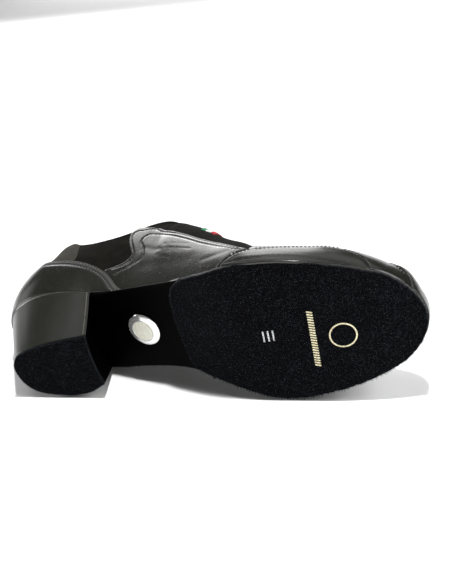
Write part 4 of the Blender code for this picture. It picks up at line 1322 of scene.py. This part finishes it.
def make_marks():
    """Plain foil ornaments on the sole: a hatched band, a ring and three short bars."""
    gold, silver = [], []
    start, end = np.array([183.3, -14.6]), np.array([181.2, 19.6])
    along = unit(end - start)
    slant = np.array([1.0, 0.35])
    for share in np.linspace(0.02, 0.98, 22):
        middle = start + (end - start) * share
        gold.append((np.linspace(middle - 1.5 * slant, middle + 1.5 * slant, 6), 0.85))
    turn = np.linspace(0, 2 * math.pi, 73)
    gold.append((np.column_stack([197.8 + 7.0 * np.cos(turn), 2.8 + 7.0 * np.sin(turn)]), 0.8))
    for shift in (-2.6, 0.0, 2.6):
        middle = np.array([159.1 + shift, -2.6])
        silver.append((np.linspace(middle - 3.2 * along, middle + 3.2 * along, 8), 0.8))
    for name, paths, finish in (("gold_marks", gold, GOLD_FINISH), ("silver_marks", silver, SILVER_FINISH)):
        points, faces = [], []
        total = 0
        for path, width in paths:
            part, part_faces, _ = block_plain(strip(path, width))
            points.append(part)
            faces.append(part_faces + total)
            total += len(part)
        add_piece(name, np.concatenate(points), np.concatenate(faces), [finish])


# Floor, light and camera

def make_stage():
    mesh = bpy.data.meshes.new("floor")
    size = 4.0
    corners = [(-size, -size, 0), (size, -size, 0), (size, size, 0), (-size, size, 0)]
    mesh.from_pydata(corners, [], [(0, 1, 2, 3)])
    floor = bpy.data.objects.new("floor", mesh)
    floor.location.z = min(0.0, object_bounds()[0][2]) - 0.0001
    bpy.context.scene.collection.objects.link(floor)
    white = Finish("pale floor", Base_Color=(0.92, 0.92, 0.92, 1.0), Roughness=0.8)
    white.put(white.shader.inputs["Specular IOR Level"], 0.1)
    mesh.materials.append(white.material)


# Soft rectangular lamps, in metres and watts
Lamp = namedtuple("Lamp", "name spot target size power")
LAMPS = table(
    Lamp,
    ("key", (0.14, -0.30, 1.38), (0, 0, 0), (0.08, 0.08), 20.0),
    ("toe side", (0.95, -0.25, 0.75), (0.05, 0, 0), (0.60, 0.60), 12.0),
    ("back", (-0.37, 1.08, 0.42), (0, 0, 0.05), (0.72, 0.60), 3.2),
    ("high back", (0.15, 0.75, 1.00), (0, 0, 0.05), (0.90, 0.50), 1.0),
    ("mid back", (-0.12, 1.05, 0.68), (0, 0, 0.05), (0.50, 0.30), 0.7),
    ("low back", (0, 1.40, 0.14), (0, 0, 0.05), (1.20, 0.24), 1.5),
    ("low left back", (-0.48, 1.12, 0.22), (0, 0, 0.05), (0.40, 0.25), 0.8),
    ("front", (0.20, -1.30, 0.16), (0, 0, 0.06), (1.60, 0.28), 4.0),
    ("heel side", (-1.20, 0, 0.28), (-0.1, 0, 0.05), (0.40, 0.40), 6.0),
    ("heel back", (-1.00, 0.50, 0.20), (-0.1, 0, 0.05), (0.50, 0.40), 0.5),
    ("above heel", (-0.55, 0.10, 1.20), (0, 0, 0.05), (0.50, 0.50), 2.7),
)
SKY_STRENGTH = 0.04


def make_lights():
    world = bpy.data.worlds.new("studio")
    world.use_nodes = True
    sky = world.node_tree.nodes["Background"]
    sky.inputs["Color"].default_value = (1.0, 1.0, 1.0, 1.0)
    sky.inputs["Strength"].default_value = SKY_STRENGTH
    bpy.context.scene.world = world
    for lamp in LAMPS:
        light = bpy.data.lights.new(lamp.name, "AREA")
        light.shape = "RECTANGLE"
        light.size, light.size_y = lamp.size
        light.energy = lamp.power
        holder = bpy.data.objects.new(lamp.name, light)
        holder.location = lamp.spot
        look = Vector(lamp.target) - Vector(lamp.spot)
        holder.rotation_euler = look.to_track_quat("-Z", "Y").to_euler()
        bpy.context.scene.collection.objects.link(holder)


def make_camera():
    data = bpy.data.cameras.new("view")
    data.lens = CAMERA_LENS
    camera = bpy.data.objects.new("view", data)
    spot, target = Vector(CAMERA_SPOT) * MM, Vector(CAMERA_TARGET) * MM
    camera.location = spot
    look = (target - spot).to_track_quat("-Z", "Y")
    camera.rotation_euler = (look @ Quaternion((0, 0, 1), CAMERA_ROLL)).to_euler()
    bpy.context.scene.collection.objects.link(camera)
    bpy.context.scene.camera = camera


make_camera()
make_lights()
bpy.context.scene.view_settings.view_transform = "Standard"

make_shell()
make_vamp()
make_counter()
for side, inner in (("outer", False), ("inner", True)):
    make_quarter(side, inner)
    make_side_vamp(side, inner)
make_toe_cap()
make_tab()
make_insole()
make_sole()
make_arch()
make_heel()
make_top_piece()
make_button()
make_marks()
make_stage()
